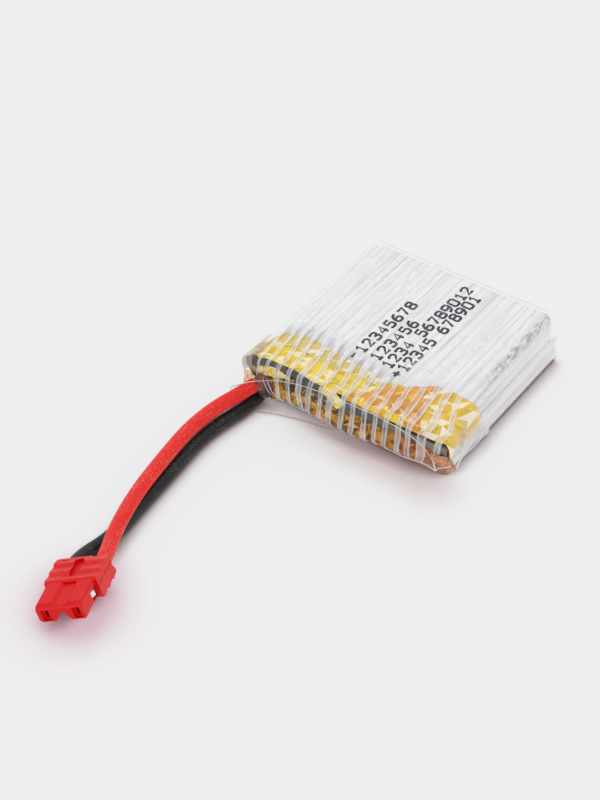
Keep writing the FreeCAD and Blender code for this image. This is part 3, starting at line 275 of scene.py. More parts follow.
# %% Lead routes
LEAD_DIAMETER = 1.8
LEAD_STEPS, LEAD_ROUNDNESS = 16, 8
RED_POINTS = (
    (-12.15, -13.21, 3.05), (-12.65, -14.4, 2.98), (-13.1, -16.2, 2.84), (-14.1, -19.7, 2.76),
    (-14.45, -24.4, 2.76), (-13.85, -30, 2.76), (-12.95, -36.4, 2.78), (-11.3, -42.4, 2.8),
    (-9.43, -46.6, 2.89), (-8.56, -48.98, 3.14))
BLACK_POINTS = (
    (-12.3, -13.21, 0.98), (-12.36, -14.7, 0.95), (-12.5, -16.6, 0.92), (-12.93, -18.5, 0.92),
    (-13.33, -20.6, 0.92), (-13.6, -23.9, 0.92), (-13.1, -29.4, 0.92), (-12.6, -36, 0.92),
    (-11.9, -42.4, 0.98), (-12.73, -47.94, 1.57), (-11.86, -50.33, 1.82))


def new_curve(name, width, roundness):
    """A curve with a round bevel and closed ends."""
    curve = bpy.data.curves.new(name, "CURVE")
    curve.dimensions = "3D"
    curve.bevel_depth = width / 2
    curve.bevel_resolution = roundness
    curve.use_fill_caps = True
    return curve


def smooth_line(name, points, width, unit, steps, roundness, taper=None):
    """A bevelled NURBS line; the unit turns its lengths into the ones that it is built in."""
    curve = new_curve(name, width * unit, roundness)
    spline = curve.splines.new("NURBS")
    spline.points.add(len(points) - 1)
    for index, (point, place) in enumerate(zip(spline.points, points)):
        point.co = (*(Vector(place) * unit), 1)
        point.radius = taper[index] if taper else 1
    spline.order_u = 3
    spline.use_endpoint_u = True
    spline.resolution_u = steps
    return add_object(name, curve)


red_jacket = smooth_line("red_jacket", RED_POINTS, LEAD_DIAMETER, MM, LEAD_STEPS,
                         LEAD_ROUNDNESS)
black_jacket = smooth_line("black_jacket", BLACK_POINTS, LEAD_DIAMETER, MM, LEAD_STEPS,
                           LEAD_ROUNDNESS)

# %% [markdown]
# Silicone is soft and slightly waxy: a broad sheen, a little dust, and paler scuffs where the
# lead was bent. The scuffs are a noise that is stretched along the lead.

# %% Silicone
def build_scuff_group():
    group, (colour, scuff, dust), outside = new_group(
        "scuff_and_dust", {"Colour": GREY, "Scuff": GREY, "Dust": 1},
        {"Colour": GREY, "Roughness": 0.5})
    scuffs = noise_value(group, (2.2, 0.5, 2.2), 5, 0.65).span(0.58, 0.78, 0, 0.5)
    specks = noise_value(group, (7, 7, 7), 1).span(0.6, 0.66, 0, 0.85)
    dusty_places = noise_value(group, (0.45, 0.25, 0.45), 3).span(0.4, 0.58)
    pale = scuffs.calc("MAXIMUM", specks * dusty_places * dust)
    feed(outside["Colour"], pale.mix(colour, scuff))
    feed(outside["Roughness"], scuffs.span(0, 0.5, 0.42, 0.6))
    return group


SCUFF_AND_DUST = build_scuff_group()


def silicone(name, colour, scuff, dust):
    material, tree = new_material(name)
    tone, height = mottle(tree, colour, 0.9, 0.05)
    tone, rough = place_group(tree, SCUFF_AND_DUST, Colour=tone, Scuff=scuff, Dust=dust)
    return finish_surface(
        material, Base_Color=tone, Roughness=rough, Normal=height.bump(0.02),
        Specular_IOR_Level=0.28)


RED_SILICONE = silicone("red_silicone", (0.8, 0.017, 0.012), (0.86, 0.3, 0.24), 0.9)
BLACK_SILICONE = silicone("black_silicone", (0.012, 0.013, 0.015), (0.17, 0.17, 0.16), 0.8)
red_jacket.data.materials.append(RED_SILICONE)
black_jacket.data.materials.append(BLACK_SILICONE)

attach(red_jacket, "root")
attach(black_jacket, "root")
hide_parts("red_lead")
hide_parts("black_lead")

# %% [markdown]
# ## The floor and the light
# The pack lies on white paper that glows a little from below, like a light table. A broad sun
# from the upper left and a weak one from the right light it, under an even white sky. The glow
# would wash out the shade, so it is dimmed where the pack covers the sky: nearly to black where
# they touch, warm before the amber end, and reddish round the plug.

# %% Floor
FLOOR_SIZE = 4000
FLOOR_TONE = (0.872, 0.872, 0.876)
FLOOR_GLOW = 0.8
GLOW_STRENGTH = 0.985
CONTACT_TONE = (0.11, 0.075, 0.06)
SHADE_TONE = (0.56, 0.47, 0.49)
CONTACT_REACH = 2.4
WIDE_REACH = 8
FRONT_SHADE = (0.72, 0.58, 0.58)
PLUG_SHADE = (0.79, 0.56, 0.64)
PLUG_MIDDLE = (-10.5, -55, 0)
CORNER_SHADE = (0.82, 0.68, 0.7)
CORNER_MIDDLE = (13.6, -15.6, 0)
SKY_SAMPLES = 12


def mesh_object(name, bm):
    """An object from a mesh that was built in millimetres."""
    bmesh.ops.scale(bm, vec=(MM, MM, MM), verts=bm.verts)
    mesh = bpy.data.meshes.new(name)
    bm.to_mesh(mesh)
    bm.free()
    return add_object(name, mesh)


def open_sky(tree, reach):
    """1 where the whole sky is seen within the reach, and less near the things that hide it."""
    return new_value(tree, "AmbientOcclusion", "AO", {"Distance": reach * MM}, samples=SKY_SAMPLES)


def close_to(tree, middle, near, far):
    """1 within the near distance of a point on the floor, 0 beyond the far one."""
    away = new_value(tree, "VectorMath", "Value", {0: object_position(tree), 1: middle},
                     operation="DISTANCE")
    return away.fall(near, far)


def wide_shade(tree, glow):
    """The broad warm shade before the pack and round the plug, where red light is cast down."""
    x, y, _ = object_axes(tree)
    sky = open_sky(tree, WIDE_REACH)
    before = y.span(-26, -17) * x.span(-9, 2) * x.fall(9, 13)
    glow = (sky.fall(0.5, 0.84) * before).mix(glow, FRONT_SHADE, "MULTIPLY")
    low = sky.fall(0.62, 0.98)
    glow = (low * close_to(tree, CORNER_MIDDLE, 1.5, 5)).mix(glow, CORNER_SHADE, "MULTIPLY")
    return (low * close_to(tree, PLUG_MIDDLE, 7, 13)).mix(glow, PLUG_SHADE, "MULTIPLY")


def floor_finish():
    material, tree = new_material("floor_paper")
    sky = open_sky(tree, CONTACT_REACH)
    seam = sky.span(0.36, 0.62).mix(CONTACT_TONE, SHADE_TONE)
    glow = wide_shade(tree, sky.span(0.6, 0.88).mix(seam, FLOOR_TONE))
    paper = new_value(tree, "BsdfDiffuse", "BSDF", {"Color": FLOOR_TONE})
    lit = new_value(tree, "Emission", "Emission", {"Color": glow, "Strength": GLOW_STRENGTH})
    return show(material, mix_shaders(tree, FLOOR_GLOW, paper, lit))


sheet = bmesh.new()
bmesh.ops.create_grid(sheet, x_segments=1, y_segments=1, size=FLOOR_SIZE)
floor = mesh_object("floor", sheet)
floor.data.materials.append(floor_finish())

# %% Sky and lamps
SKY_STRENGTH = 0.86
SUN_PLACE, SUN_STRENGTH, SUN_WIDTH = (-260, 120, 520), 0.42, 24
FILL_PLACE, FILL_STRENGTH, FILL_WIDTH = (420, -160, 200), 0.19, 60

world = bpy.data.worlds.new("sky")
bpy.context.scene.world = world
world.use_nodes = True
sky = world.node_tree.nodes["Background"]
sky.inputs["Color"].default_value = (1, 1, 1, 1)
sky.inputs["Strength"].default_value = SKY_STRENGTH


def add_sun(name, place, energy, degrees):
    """A sun that shines from a place towards the middle; its width is in degrees."""
    data = bpy.data.lights.new(name, "SUN")
    data.energy = energy
    data.angle = math.radians(degrees)
    sun = add_object(name, data)
    sun.location = Vector(place) * MM
    sun.rotation_euler = (-sun.location).to_track_quat("-Z", "Y").to_euler()


add_sun("sun", SUN_PLACE, SUN_STRENGTH, SUN_WIDTH)
add_sun("fill", FILL_PLACE, FILL_STRENGTH, FILL_WIDTH)
bpy.context.scene.view_settings.view_transform = "Standard"

# %% [markdown]
# ## The pouch
# A pouch cell is wrapped in a foil laminate: aluminium between nylon and polypropylene. It looks
# like dull silver that is nearly white in soft light. A broad cloudy tone comes first, then fine
# streaks and wandering lines where the foil was drawn, and long straight folds from the taped end
# to the rear; the lines and folds are painted shade with a painted highlight beside. Last come a
# rubbed line of dirt along the right shoulder, a dull patch by the tape and dark specks.

# %% Pouch laminate
DIRT_LINE_X = 12.4
DIRT_HALF_WIDTH = 0.85
FOLD_SPACING = 1
FOLD_BEND = 3
CONTOURS = 26
FURROW_SHADE = (0.5, 0.505, 0.52)


def pouch_finish():
    material, tree = new_material("pouch_foil")
    x, y, z = object_axes(tree)
    tone, cloud = mottle(tree, (0.84, 0.842, 0.855), 0.25, 0.02)
    streaks = noise_value(tree, (1.9, 0.07, 0.6), 6, 0.66, 0.2)
    tone = streaks.span(0.46, 0.66, 0, 0.8).mix(tone, (0.7, 0.705, 0.725))

    line = (noise_value(tree, (0.55, 0.03, 0.4), 3, 0.6) * CONTOURS).off_step()
    broken = noise_value(tree, (1.2, 0.08, 1)).span(0.42, 0.58)
    # The wandering lines: painted shade along each line, and a painted highlight between them.
    tone = (line.fall(0, 0.16, 0.6) * broken).mix(tone, FURROW_SHADE)
    tone = (line.span(0.38, 0.5, 0, 0.8) * broken).mix(tone, (0.98, 0.98, 0.99))

    bend = noise_value(tree, (0.45, 0.014, 0.3), 2) * FOLD_BEND
    fold = (x * (1 / FOLD_SPACING) + bend).off_step()
    fold_patches = noise_value(tree, (1.3, 0.06, 0.5), 2).span(0.4, 0.6)
    # The folds: painted shade along each fold, and a painted highlight beside it.
    tone = (fold.fall(0, 0.1, 0.7) * fold_patches).mix(tone, FURROW_SHADE)
    tone = (fold.span(0.2, 0.36) * fold_patches * 0.6).mix(tone, (0.93, 0.93, 0.945))

    upper = z.span(6, 6.6)
    shoulder = abs(x - DIRT_LINE_X).fall(0, DIRT_HALF_WIDTH) * y.span(-4, 1.5) * upper
    grime = noise_value(tree, (3.2, 0.9, 3), 6, 0.75).span(0.44, 0.58)
    tone = (shoulder * grime * 0.95).mix(tone, (0.23, 0.225, 0.17))
    by_tape = y.fall(-7.6, -5.2, 0.45) * x.fall(2.5, 5) * upper
    tone = by_tape.mix(tone, (0.47, 0.45, 0.41))
    specks = noise_value(tree, (4.5, 3, 4.5), 2).span(0.755, 0.8)
    tone = (specks * 0.5).mix(tone, (0.25, 0.25, 0.25))
    return finish_surface(
        material, Base_Color=tone, Roughness=streaks.span(0.3, 0.7, 0.34, 0.52), Metallic=0.12,
        Normal=(streaks * 0.7 + cloud).bump(0.12, 0.6))


paint(pouch_finish(), "pouch_cup", "pouch_lid")

# %% [markdown]
# ## The circuit behind the tape
# A strip of black fibre insulates the small protection board. Through the amber tape the board
# shows as a dark green shape with black chips, and it is finished properly although it is only
# glimpsed.

# %% Board, parts and strip
paint(plain_finish("black_fibre", (0.045, 0.047, 0.042), 0.38, 1.6, 0.25, relief=0.05),
      "insulating_strip")
paint(plain_finish("green_laminate", (0.02, 0.09, 0.035), 0.35, 1.2, 0.15), "circuit_board")
paint(plain_finish("black_epoxy", (0.022, 0.022, 0.024), 0.45, 2.5, 0.2),
      "protection_chip", "discharge_switch", "charge_switch", "resistors")
paint(plain_finish("tan_ceramic", (0.42, 0.3, 0.18), 0.5, 2.5, 0.12), "capacitor")
paint(plain_finish("tinned_pad", (0.72, 0.72, 0.7), 0.3, 2, 0.08, metallic=0.9),
      "solder_pads")
paint(plain_finish("solder", (0.66, 0.66, 0.65), 0.28, 1.8, 0.12, metallic=0.9, relief=0.04),
      "solder_joints")

# %% [markdown]
# ## What the pouch hides
# The windings and tabs can't be seen in the portrait, but they are part of the model. The anode
# is graphite on copper, the cathode a dark oxide on aluminium, and the separator a white film.

# %% Windings and tabs
paint(plain_finish("graphite", (0.045, 0.045, 0.05), 0.55, 3, 0.2, metallic=0.2),
      "anode_winding")
paint(plain_finish("dark_oxide", (0.03, 0.028, 0.03), 0.7, 3, 0.2), "cathode_winding")
paint(plain_finish("separator_film", (0.82, 0.82, 0.8), 0.4, 1, 0.04),
      "inner_separator", "outer_separator")
paint(plain_finish("nickel", (0.62, 0.59, 0.55), 0.25, 2, 0.06, metallic=1), "negative_tab")
paint(plain_finish("aluminium", (0.78, 0.79, 0.8), 0.3, 2, 0.06, metallic=1),
      "positive_tab")
paint(plain_finish("seal_polymer", (0.7, 0.68, 0.62), 0.45, 1.2, 0.06),
      "negative_tab_seal", "positive_tab_seal")

# %% [markdown]
# ## The plug
# The plug is moulded in red nylon. Its faces are satin, with a slight orange-peel from the mould
# and paler rubbed edges. Pointiness finds the edges, and noise breaks up the wear.

# %% Red nylon
def nylon_finish():
    material, tree = new_material("red_nylon")
    tone, height = mottle(tree, (0.7, 0.003, 0.005), 1.1, 0.05)
    edges = new_value(tree, "NewGeometry", "Pointiness").span(0.53, 0.6)
    tone = (edges * noise_value(tree, (1.4, 1.4, 1.4), 4)).mix(tone, (0.8, 0.07, 0.06))
    specks = noise_value(tree, (4, 4, 4), 2).span(0.74, 0.78, 0, 0.6)
    tone = specks.mix(tone, (0.95, 0.55, 0.5))
    peel = noise_value(tree, (7, 7, 7), 2, 0.5)
    return finish_surface(
        material, Base_Color=tone, Roughness=0.42, Normal=(peel * 0.5 + height).bump(0.02, 0.5),
        Specular_IOR_Level=0.22, Subsurface_Weight=0.05, Subsurface_Radius=(0.9, 0.15, 0.12),
        Subsurface_Scale=0.6 * MM)


paint(nylon_finish(), "plug_housing")
paint(plain_finish("tinned_brass", (0.9, 0.89, 0.86), 0.38, 2.5, 0.08, metallic=0.7),
      "positive_contact", "negative_contact")
paint(plain_finish("tinned_strands", (0.66, 0.6, 0.52), 0.32, 6, 0.25, metallic=1),
      "red_strands", "black_strands", "red_lead_tail", "black_lead_tail")

# %% [markdown]
# ## The print
# Cells are marked by a small inkjet head as they pass, so the strokes are plain lines of one
# width. This pack carries running digits in four lines, with a sign at the start of the outer
# two, and they name nothing. Each digit is a few strokes on a grid of hundredths. The strokes are
# curves with a round bevel, turned into a mesh and pressed flat onto the foil.

# %% Digits
GLYPHS = {
    "0": "10,0 50,0 60,15 60,85 50,100 10,100 0,85 0,15 10,0",
    "1": "10,75 35,100 35,0 / 8,0 60,0",
    "2": "0,80 12,100 48,100 60,82 60,62 0,2 62,2",
    "3": "0,86 12,100 48,100 60,86 60,66 46,53 22,53 / 46,53 60,40 60,15 48,0 12,0 0,15",
    "4": "46,0 46,100 0,34 62,34",
    "5": "58,100 6,100 3,56 46,60 60,44 60,15 48,0 12,0 0,12",
    "6": "52,100 18,90 0,55 0,15 12,0 48,0 60,15 60,42 48,56 6,52",
    "7": "0,100 60,100 20,0",
    "8": "14,54 2,68 2,86 14,100 46,100 58,86 58,68 46,54 14,54 0,40 0,14 12,0 48,0 60,14 60,40"
         " 46,54",
    "9": "8,0 42,10 60,45 60,85 48,100 12,100 0,85 0,58 12,44 54,48",
    "+": "-2,50 66,50 / 32,12 32,88",
    "-": "0,50 62,50",
}
# Each line has its text, where it starts and ends across the pack, where it starts along it,
# and the advance from one digit to the next.
PRINT_LINES = (
    ("-12345678", -2.95, -2.31, -7.3, 1.46), ("123456", -0.62, -0.3, -6, 1.5),
    ("1234 56789012", 1.3, 1.75, -6.4, 1.42), ("+12345 678901", 3.1, 3.4, -7.3, 1.42))
GLYPH_HEIGHT = 1.32
GLYPH_WIDTH = 1.55
STROKE = 0.36
STROKE_ROUNDNESS = 2
INK_LIFT = 0.012
INK_FLATTENED = 0.06


def take_mesh(name, source):
    """The mesh of a curve's object, which is then removed."""
    bpy.context.view_layer.update()
    shape = source.evaluated_get(bpy.context.evaluated_depsgraph_get())
    mesh = bpy.data.meshes.new_from_object(shape)
    bpy.data.objects.remove(source)
    mesh.name = name
    mesh.materials.clear()
    return mesh


def print_digits():
    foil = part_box("pouch_cup")[1][2] / MM
    curve = new_curve("print_strokes", STROKE, STROKE_ROUNDNESS)
    for text, first_x, last_x, first_y, advance in PRINT_LINES:
        slope = (last_x - first_x) / ((len(text) - 1) * advance)
        for index, letter in enumerate(text):
            start = index * advance
            for stroke in filter(None, GLYPHS.get(letter, "").split("/")):
                spots = [[int(part) / 100 for part in pair.split(",")] for pair in stroke.split()]
                spline = curve.splines.new("POLY")
                spline.points.add(len(spots) - 1)
                for point, (along, up) in zip(spline.points, spots):
                    y = first_y + start + along * GLYPH_WIDTH
                    x = first_x + slope * start - (up - 0.5) * GLYPH_HEIGHT
                    point.co = (x, y, 0, 1)
    mesh = take_mesh("printed_digits", add_object("print_strokes", curve))
    for vertex in mesh.vertices:
        x, y, z = vertex.co
        vertex.co = (x * MM, y * MM, (foil + INK_LIFT + z * INK_FLATTENED) * MM)
    return add_object("printed_digits", mesh)


def ink_finish():
    material, tree = new_material("print_ink")
    tone, height = mottle(tree, (0.014, 0.017, 0.027), 2, 0.2)
    thin = noise_value(tree, (4, 4, 4), 4, 0.7).span(0.6, 0.72, 0, 0.5)
    return finish_surface(
        material, Base_Color=thin.mix(tone, (0.4, 0.41, 0.44)), Roughness=0.55,
        Normal=height.bump(0.01))


def put_on(piece, material, slot, *stands_for):
    """Finish a piece, fix it to the root, and hide the parts that it replaces. The slot is not
    used.
    """
    piece.data.materials.append(material)
    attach(piece, "root")
    if stands_for:
        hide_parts(*stands_for)


printed_digits = print_digits()
put_on(printed_digits, ink_finish(), "black_strip")
print("strokes:", len(printed_digits.data.polygons), "faces")

# %% [markdown]
# ## The shrink film
# A clear sleeve is pulled over the pack and shrunk with warm air. Along the pack it lies smooth,
# but at the taped end it has to gather, and it does so in pleats. They start behind the tape, run
# over the edge and down the front; where the film is folded double it shows white, its milkiness
# mixed with painted sheen.
#
# The section of the sleeve is drawn once at the rear and extruded forwards row by row. The top
# part is then spun over the front edge and extruded down the front. After that the vertices are
# moved: the pleats rise along their paths, the lower edge is scalloped, and at the right front
# corner the loose sleeve stands out and is drawn up off the floor.

# %% Film: the smooth sleeve
sleeve_low, sleeve_high = [Vector(corner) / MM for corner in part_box("shrink_sleeve")]
HALF_WIDTH = sleeve_high.x
ROOF = sleeve_high.z
REAR = sleeve_high.y
FRONT = sleeve_low.y
UNDER = 0.02
EDGE_RADIUS = 1
SHOULDER_WIDTH = 1.58
SHOULDER_HEIGHT = 1.5
SHOULDER_STEPS = 40
SIDE_STATIONS = (1.2, 2, 2.8, 3.6, 4.4, 5.2)
FOOT_BEVEL = 0.45
BASE_STEPS = 12
COLUMN = 0.085
ROW = 0.25
COARSE_ROW = 0.8
PLEATS_FROM = -2.2
SPIN_STEPS = 8
FRONT_ROWS = 14
FRONT_REACH = 3.6
MOUTH_TOP, MOUTH_BEHIND = 0.3, -10.9
SPUN_BELOW = 0.3
WELD = 0.002
TURN_CENTRE = Vector((0, FRONT + EDGE_RADIUS, ROOF - EDGE_RADIUS))
FLAT_HALF = HALF_WIDTH - SHOULDER_WIDTH


def film_section():
    """The sleeve's section at the rear: over the roof from foot to foot, and the base."""
    start = ROOF - SHOULDER_HEIGHT
    right = [(HALF_WIDTH, z) for z in (FOOT_BEVEL, *SIDE_STATIONS)]
    for step in range(SHOULDER_STEPS):
        angle = math.pi / 2 * step / SHOULDER_STEPS
        right.append((FLAT_HALF + SHOULDER_WIDTH * math.cos(angle),
                      start + SHOULDER_HEIGHT * math.sin(angle)))
    count = round(2 * FLAT_HALF / COLUMN)
    roof = [(FLAT_HALF - 2 * FLAT_HALF * i / count, ROOF) for i in range(count + 1)]
    left = [(-x, z) for x, z in reversed(right)]
    foot = HALF_WIDTH - FOOT_BEVEL
    base = [(-foot + 2 * foot * i / BASE_STEPS, UNDER) for i in range(BASE_STEPS + 1)]
    return right + roof + left + base


def edges_of(made):
    return [part for part in made if isinstance(part, bmesh.types.BMEdge)]


def extrude_by(bm, edges, shift):
    made = bmesh.ops.extrude_edge_only(bm, edges=edges)["geom"]
    verts = [part for part in made if isinstance(part, bmesh.types.BMVert)]
    bmesh.ops.translate(bm, verts=verts, vec=shift)
    return edges_of(made)


def build_sleeve():
    bm = bmesh.new()
    ring = [bm.verts.new((x, REAR, z)) for x, z in film_section()]
    edges = [bm.edges.new((ring[i], ring[(i + 1) % len(ring)])) for i in range(len(ring))]
    y = REAR
    while y > TURN_CENTRE.y + 1e-6:
        step = min(COARSE_ROW if y > PLEATS_FROM else ROW, y - TURN_CENTRE.y)
        edges = extrude_by(bm, edges, (0, -step, 0))
        y -= step
    top = [e for e in edges if min(v.co.z for v in e.verts) > TURN_CENTRE.z - SPUN_BELOW]
    spun = bmesh.ops.spin(bm, geom=top, cent=TURN_CENTRE, axis=(1, 0, 0),
                          angle=math.pi / 2, steps=SPIN_STEPS, use_duplicate=False)
    front = edges_of(spun["geom_last"])
    for _ in range(FRONT_ROWS):
        front = extrude_by(bm, front, (0, 0, -FRONT_REACH / FRONT_ROWS))
    mouth = [v for v in bm.verts if v.co.z < MOUTH_TOP and v.co.y < MOUTH_BEHIND]
    bmesh.ops.delete(bm, geom=mouth, context="VERTS")
    bmesh.ops.remove_doubles(bm, verts=bm.verts, dist=WELD)
    bmesh.ops.recalc_face_normals(bm, faces=bm.faces)
    return bm


# %% [markdown]
# Each pleat is a path across the film, given by where it lies sideways at five stations: behind
# the tape, on the tape, at the front edge, half-way down the front and at the bottom. Its cross
# section is two sharp ridges with a flatter strip between them.

# %% Film: the pleats
STATIONS = (4.3, 6.5, 10.1, 13.2, 15.6)
PLEATS = (
    # behind   on tape  edge    front   bottom  half-width  start
    (-12.4, -12.1, -11.7, -12, -12.2, 0.1, 5.2),
    (-11.2, -10.8, -10.4, -10.9, -10.6, 0.14, 4),
    (-10, -9.6, -8.9, -9.3, -8.8, 0.2, 2.9),
    (-8.5, -8.1, -7.5, -7.7, -7.3, 0.22, 2.8),
    (-6.9, -6.3, -5.8, -6.2, -5.6, 0.3, 2.9),
    (-5.3, -4.9, -4.1, -4.7, -4.9, 0.26, 3.3),
    (-3.7, -3.4, -2.6, -3.1, -3.3, 0.22, 3.9),
    (-2.2, -1.8, -0.9, -1.8, -2, 0.3, 4.3),
    (-0.7, -0.3, 0.5, 0, -0.35, 0.28, 4.7),
    (0.8, 1.2, 1.7, 1.5, 1.1, 0.24, 5),
    (2.3, 2.8, 3.4, 3.1, 2.8, 0.28, 5.3),
    (3.9, 4.2, 4.9, 4.6, 4.3, 0.2, 5),
    (5.4, 5.9, 6.4, 6, 5.6, 0.26, 4.2),
    (7, 7.5, 8, 7.8, 7.4, 0.3, 3.2),
    (8.6, 9, 9.3, 9.1, 8.8, 0.26, 3),
    (10, 10.5, 11, 10.5, 10.4, 0.3, 3.5),
    (11.6, 12.1, 12.6, 12, 12.1, 0.18, 4),
)
LOWER_EDGE = (
    (-13.2, 1.5), (-11.5, 1), (-10.9, 0.9), (-9.5, 1.35), (-8.2, 1.7), (-7.4, 1.55),
    (-6.3, 1.75), (-5.4, 1.6), (-4.1, 1.3), (-2.2, 1.2), (0.2, 1.1), (2.5, 1.2), (4.8, 1.6),
    (7.2, 1.75), (8.5, 1.75), (10.4, 1.9), (12.2, 2.4), (13.2, 2.9))
PLEAT_REACH = 1.2
RIDGE_SPREAD = 0.065
STRIP_RISE, RIDGE_RISE = 0.11, 0.07
LOOSE_RISE, CORNER_RISE = 0.06, 0.1
FRONT_SPREAD = 0.02
TURNED_OUT = 0.75
PLEAT_WANDER = 0.1
WIDTH_CHANGE = 0.35
WIDER_BEHIND, BEHIND_LENGTH = 0.4, 3
SOFT_SIDE = 0.05
STRIP_SHEEN_AND_MILK, WHITE_CHANGE, WHITE_BEHIND = 0.38, 0.4, 0.36
FLARE = 1.25
FLARE_ACROSS, FLARE_ALONG, FLARE_HEIGHT = (9, 13.4), (-7, -13.2), (1, 4.5)
DRAWN_UP, DRAWN_BELOW = 2.6, 4.4
DRAWN_ACROSS, DRAWN_ALONG = (10.5, 13.4), (-4, -12.6)


def between(pairs, value):
    """Straight interpolation in a list of (position, value) pairs."""
    if value <= pairs[0][0]:
        return pairs[0][1]
    for (x0, y0), (x1, y1) in zip(pairs, pairs[1:]):
        if value <= x1:
            return y0 + (y1 - y0) * (value - x0) / (x1 - x0)
    return pairs[-1][1]


def smooth(low, high, value):
    t = min(max((value - low) / (high - low), 0), 1)
    return t * t * (3 - 2 * t)


def flare(place):
    """The loose right front corner of the wrapping stands out from the pack."""
    outward = smooth(*FLARE_ACROSS, place.x) * smooth(*FLARE_ALONG, place.y)
    place.x += FLARE * outward * smooth(*FLARE_HEIGHT, place.z)
    return place


def lift_foot(place):
    """Towards the right front corner the sleeve's lower edge is drawn up off the floor."""
    drawn = smooth(*DRAWN_ACROSS, place.x) * smooth(*DRAWN_ALONG, place.y)
    if place.z < DRAWN_BELOW:
        place.z += DRAWN_UP * drawn * (1 - place.z / DRAWN_BELOW)
    return place


def run_of(place):
    """Distance along the film from the first pleat row, over the edge and down the front."""
    if place.y > TURN_CENTRE.y:
        return PLEATS_FROM - place.y
    top = PLEATS_FROM - TURN_CENTRE.y
    if place.z < TURN_CENTRE.z:
        return top + EDGE_RADIUS * math.pi / 2 + TURN_CENTRE.z - place.z
    angle = math.atan2(TURN_CENTRE.y - place.y, max(place.z - TURN_CENTRE.z, 1e-6))
    return top + angle * EDGE_RADIUS


def pleat_at(x, run):
    """How much painted sheen and milkiness the film has here, and how far it stands up."""
    white, rise = 0, 0
    for index, (*across, half_width, start) in enumerate(PLEATS):
        centre = between(tuple(zip(STATIONS, across)), run)
        if abs(x - centre) > PLEAT_REACH:
            continue
        centre += PLEAT_WANDER * noise.noise(Vector((index * 7.3, run * 0.9, 0)))
        change = WIDTH_CHANGE * noise.noise(Vector((index * 3.1, run * 0.5, 4)))
        behind = 1 - smooth(start, start + BEHIND_LENGTH, run)
        width = half_width * (1 + change) * (1 + WIDER_BEHIND * behind)
        shown = smooth(start - 1.1, start + 0.9, run)
        off = abs(x - centre)
        ridge = math.exp(-((off - width) / RIDGE_SPREAD) ** 2)
        inside = smooth(width + SOFT_SIDE, width - SOFT_SIDE, off)
        patchy = STRIP_SHEEN_AND_MILK + WHITE_CHANGE * noise.noise(Vector((x * 1.5, run * 0.8, index)))
        patchy += WHITE_BEHIND * (1 - smooth(7, 8.2, run)) * (1 - smooth(2, 5, x))
        # The white on the ridges and on the strip between them is painted sheen with the film's
        # milkiness.
        white = max(white, shown * max(ridge, inside * patchy))
        rise = max(rise, shown * (STRIP_RISE * inside + RIDGE_RISE * ridge))
    return white, rise


def pleat_film(bm):
    layer = bm.verts.layers.float.new("pleat")
    bm.normal_update()
    moves = []
    for vert in bm.verts:
        place = vert.co
        run = run_of(place)
        if run < 0 or place.z < 1 or (place.y > TURN_CENTRE.y and place.z < ROOF - 1):
            continue
        vert[layer], rise = pleat_at(place.x, run)
        target = place.copy()
        if place.z < TURN_CENTRE.z and place.y < TURN_CENTRE.y - 0.1:
            down = (TURN_CENTRE.z - place.z) / FRONT_REACH
            target.z = TURN_CENTRE.z - down * (TURN_CENTRE.z - between(LOWER_EDGE, place.x))
            target.x *= 1 + FRONT_SPREAD * down
            target.y += TURNED_OUT * smooth(0.72, 1, down) ** 2
        rise += LOOSE_RISE * abs(noise.noise(Vector((place.x * 0.8, run * 0.5, 2))))
        rise += CORNER_RISE * smooth(8, 11.5, place.x)
        moves.append((vert, target + vert.normal * rise))
    for vert, target in moves:
        vert.co = target
    for vert in bm.verts:
        vert.co = flare(lift_foot(vert.co))


def build_stretch_group():
    """Where the film shows white: painted sheen and milkiness in its pleats and fine streaks, and
    a milky haze.
    """
    group, (pleat_sheen_and_milk, streaky, haze), outside = new_group(
        "stretched_film", {"Whiten": 0.9, "Streaky": 0.16, "Haze": 0},
        {"Cover": 0, "Relief": 0})
    pleat = new_value(group, "Attribute", "Fac", attribute_name="pleat")
    streaks = noise_value(group, (2.1, 0.1, 1.2), 5, 0.62, 0.3)
    behind = object_axes(group)[1].span(-8.5, -6.5, 0.06, 1)
    fine = streaks.span(0.53, 0.66) * streaky * behind
    feed(outside["Cover"], (pleat * pleat_sheen_and_milk + fine + haze).calc("MINIMUM", 0.96))
    wave = noise_value(group, (1.3, 0.5, 1), 4, 0.6, 0.5)
    feed(outside["Relief"], wave + streaks)
    return group


STRETCHED_FILM = build_stretch_group()
SHEEN_AND_MILK_WHITE = (0.86, 0.85, 0.87)


def film_finish(name, haze=0, pleat_sheen_and_milk=0.9, streaky=0.16):
    """Clear film that shines at a glance, with a white one mixed in as painted sheen and
    milkiness.
    """
    material, tree = new_material(name)
    cover, relief = place_group(tree, STRETCHED_FILM, Whiten=pleat_sheen_and_milk, Streaky=streaky, Haze=haze)
    normal = relief.bump(0.12, 0.5)
    clear = new_value(tree, "BsdfTransparent", "BSDF", {"Color": (1, 1, 1)})
    shine = new_value(tree, "BsdfGlossy", "BSDF", {
        "Color": (0.95, 0.95, 1), "Roughness": 0.1, "Normal": normal})
    facing = new_value(tree, "LayerWeight", "Facing", {"Blend": 0.5, "Normal": normal})
    skin = mix_shaders(tree, facing.calc("POWER", 5) * 0.42 + 0.015, clear, shine)
    sheen_and_milk = new_value(tree, "BsdfPrincipled", "BSDF", {
        "Base Color": SHEEN_AND_MILK_WHITE, "Roughness": 0.3, "Normal": normal})
    return show(material, mix_shaders(tree, cover, skin, sheen_and_milk))


sleeve = build_sleeve()
pleat_film(sleeve)
for face in sleeve.faces:
    face.smooth = True
shrink_film = mesh_object("shrink_film", sleeve)
CLEAR_FILM = film_finish("clear_film", streaky=0.24)
put_on(shrink_film, CLEAR_FILM, "clear_film", "shrink_sleeve")
print("film:", len(shrink_film.data.polygons), "faces")
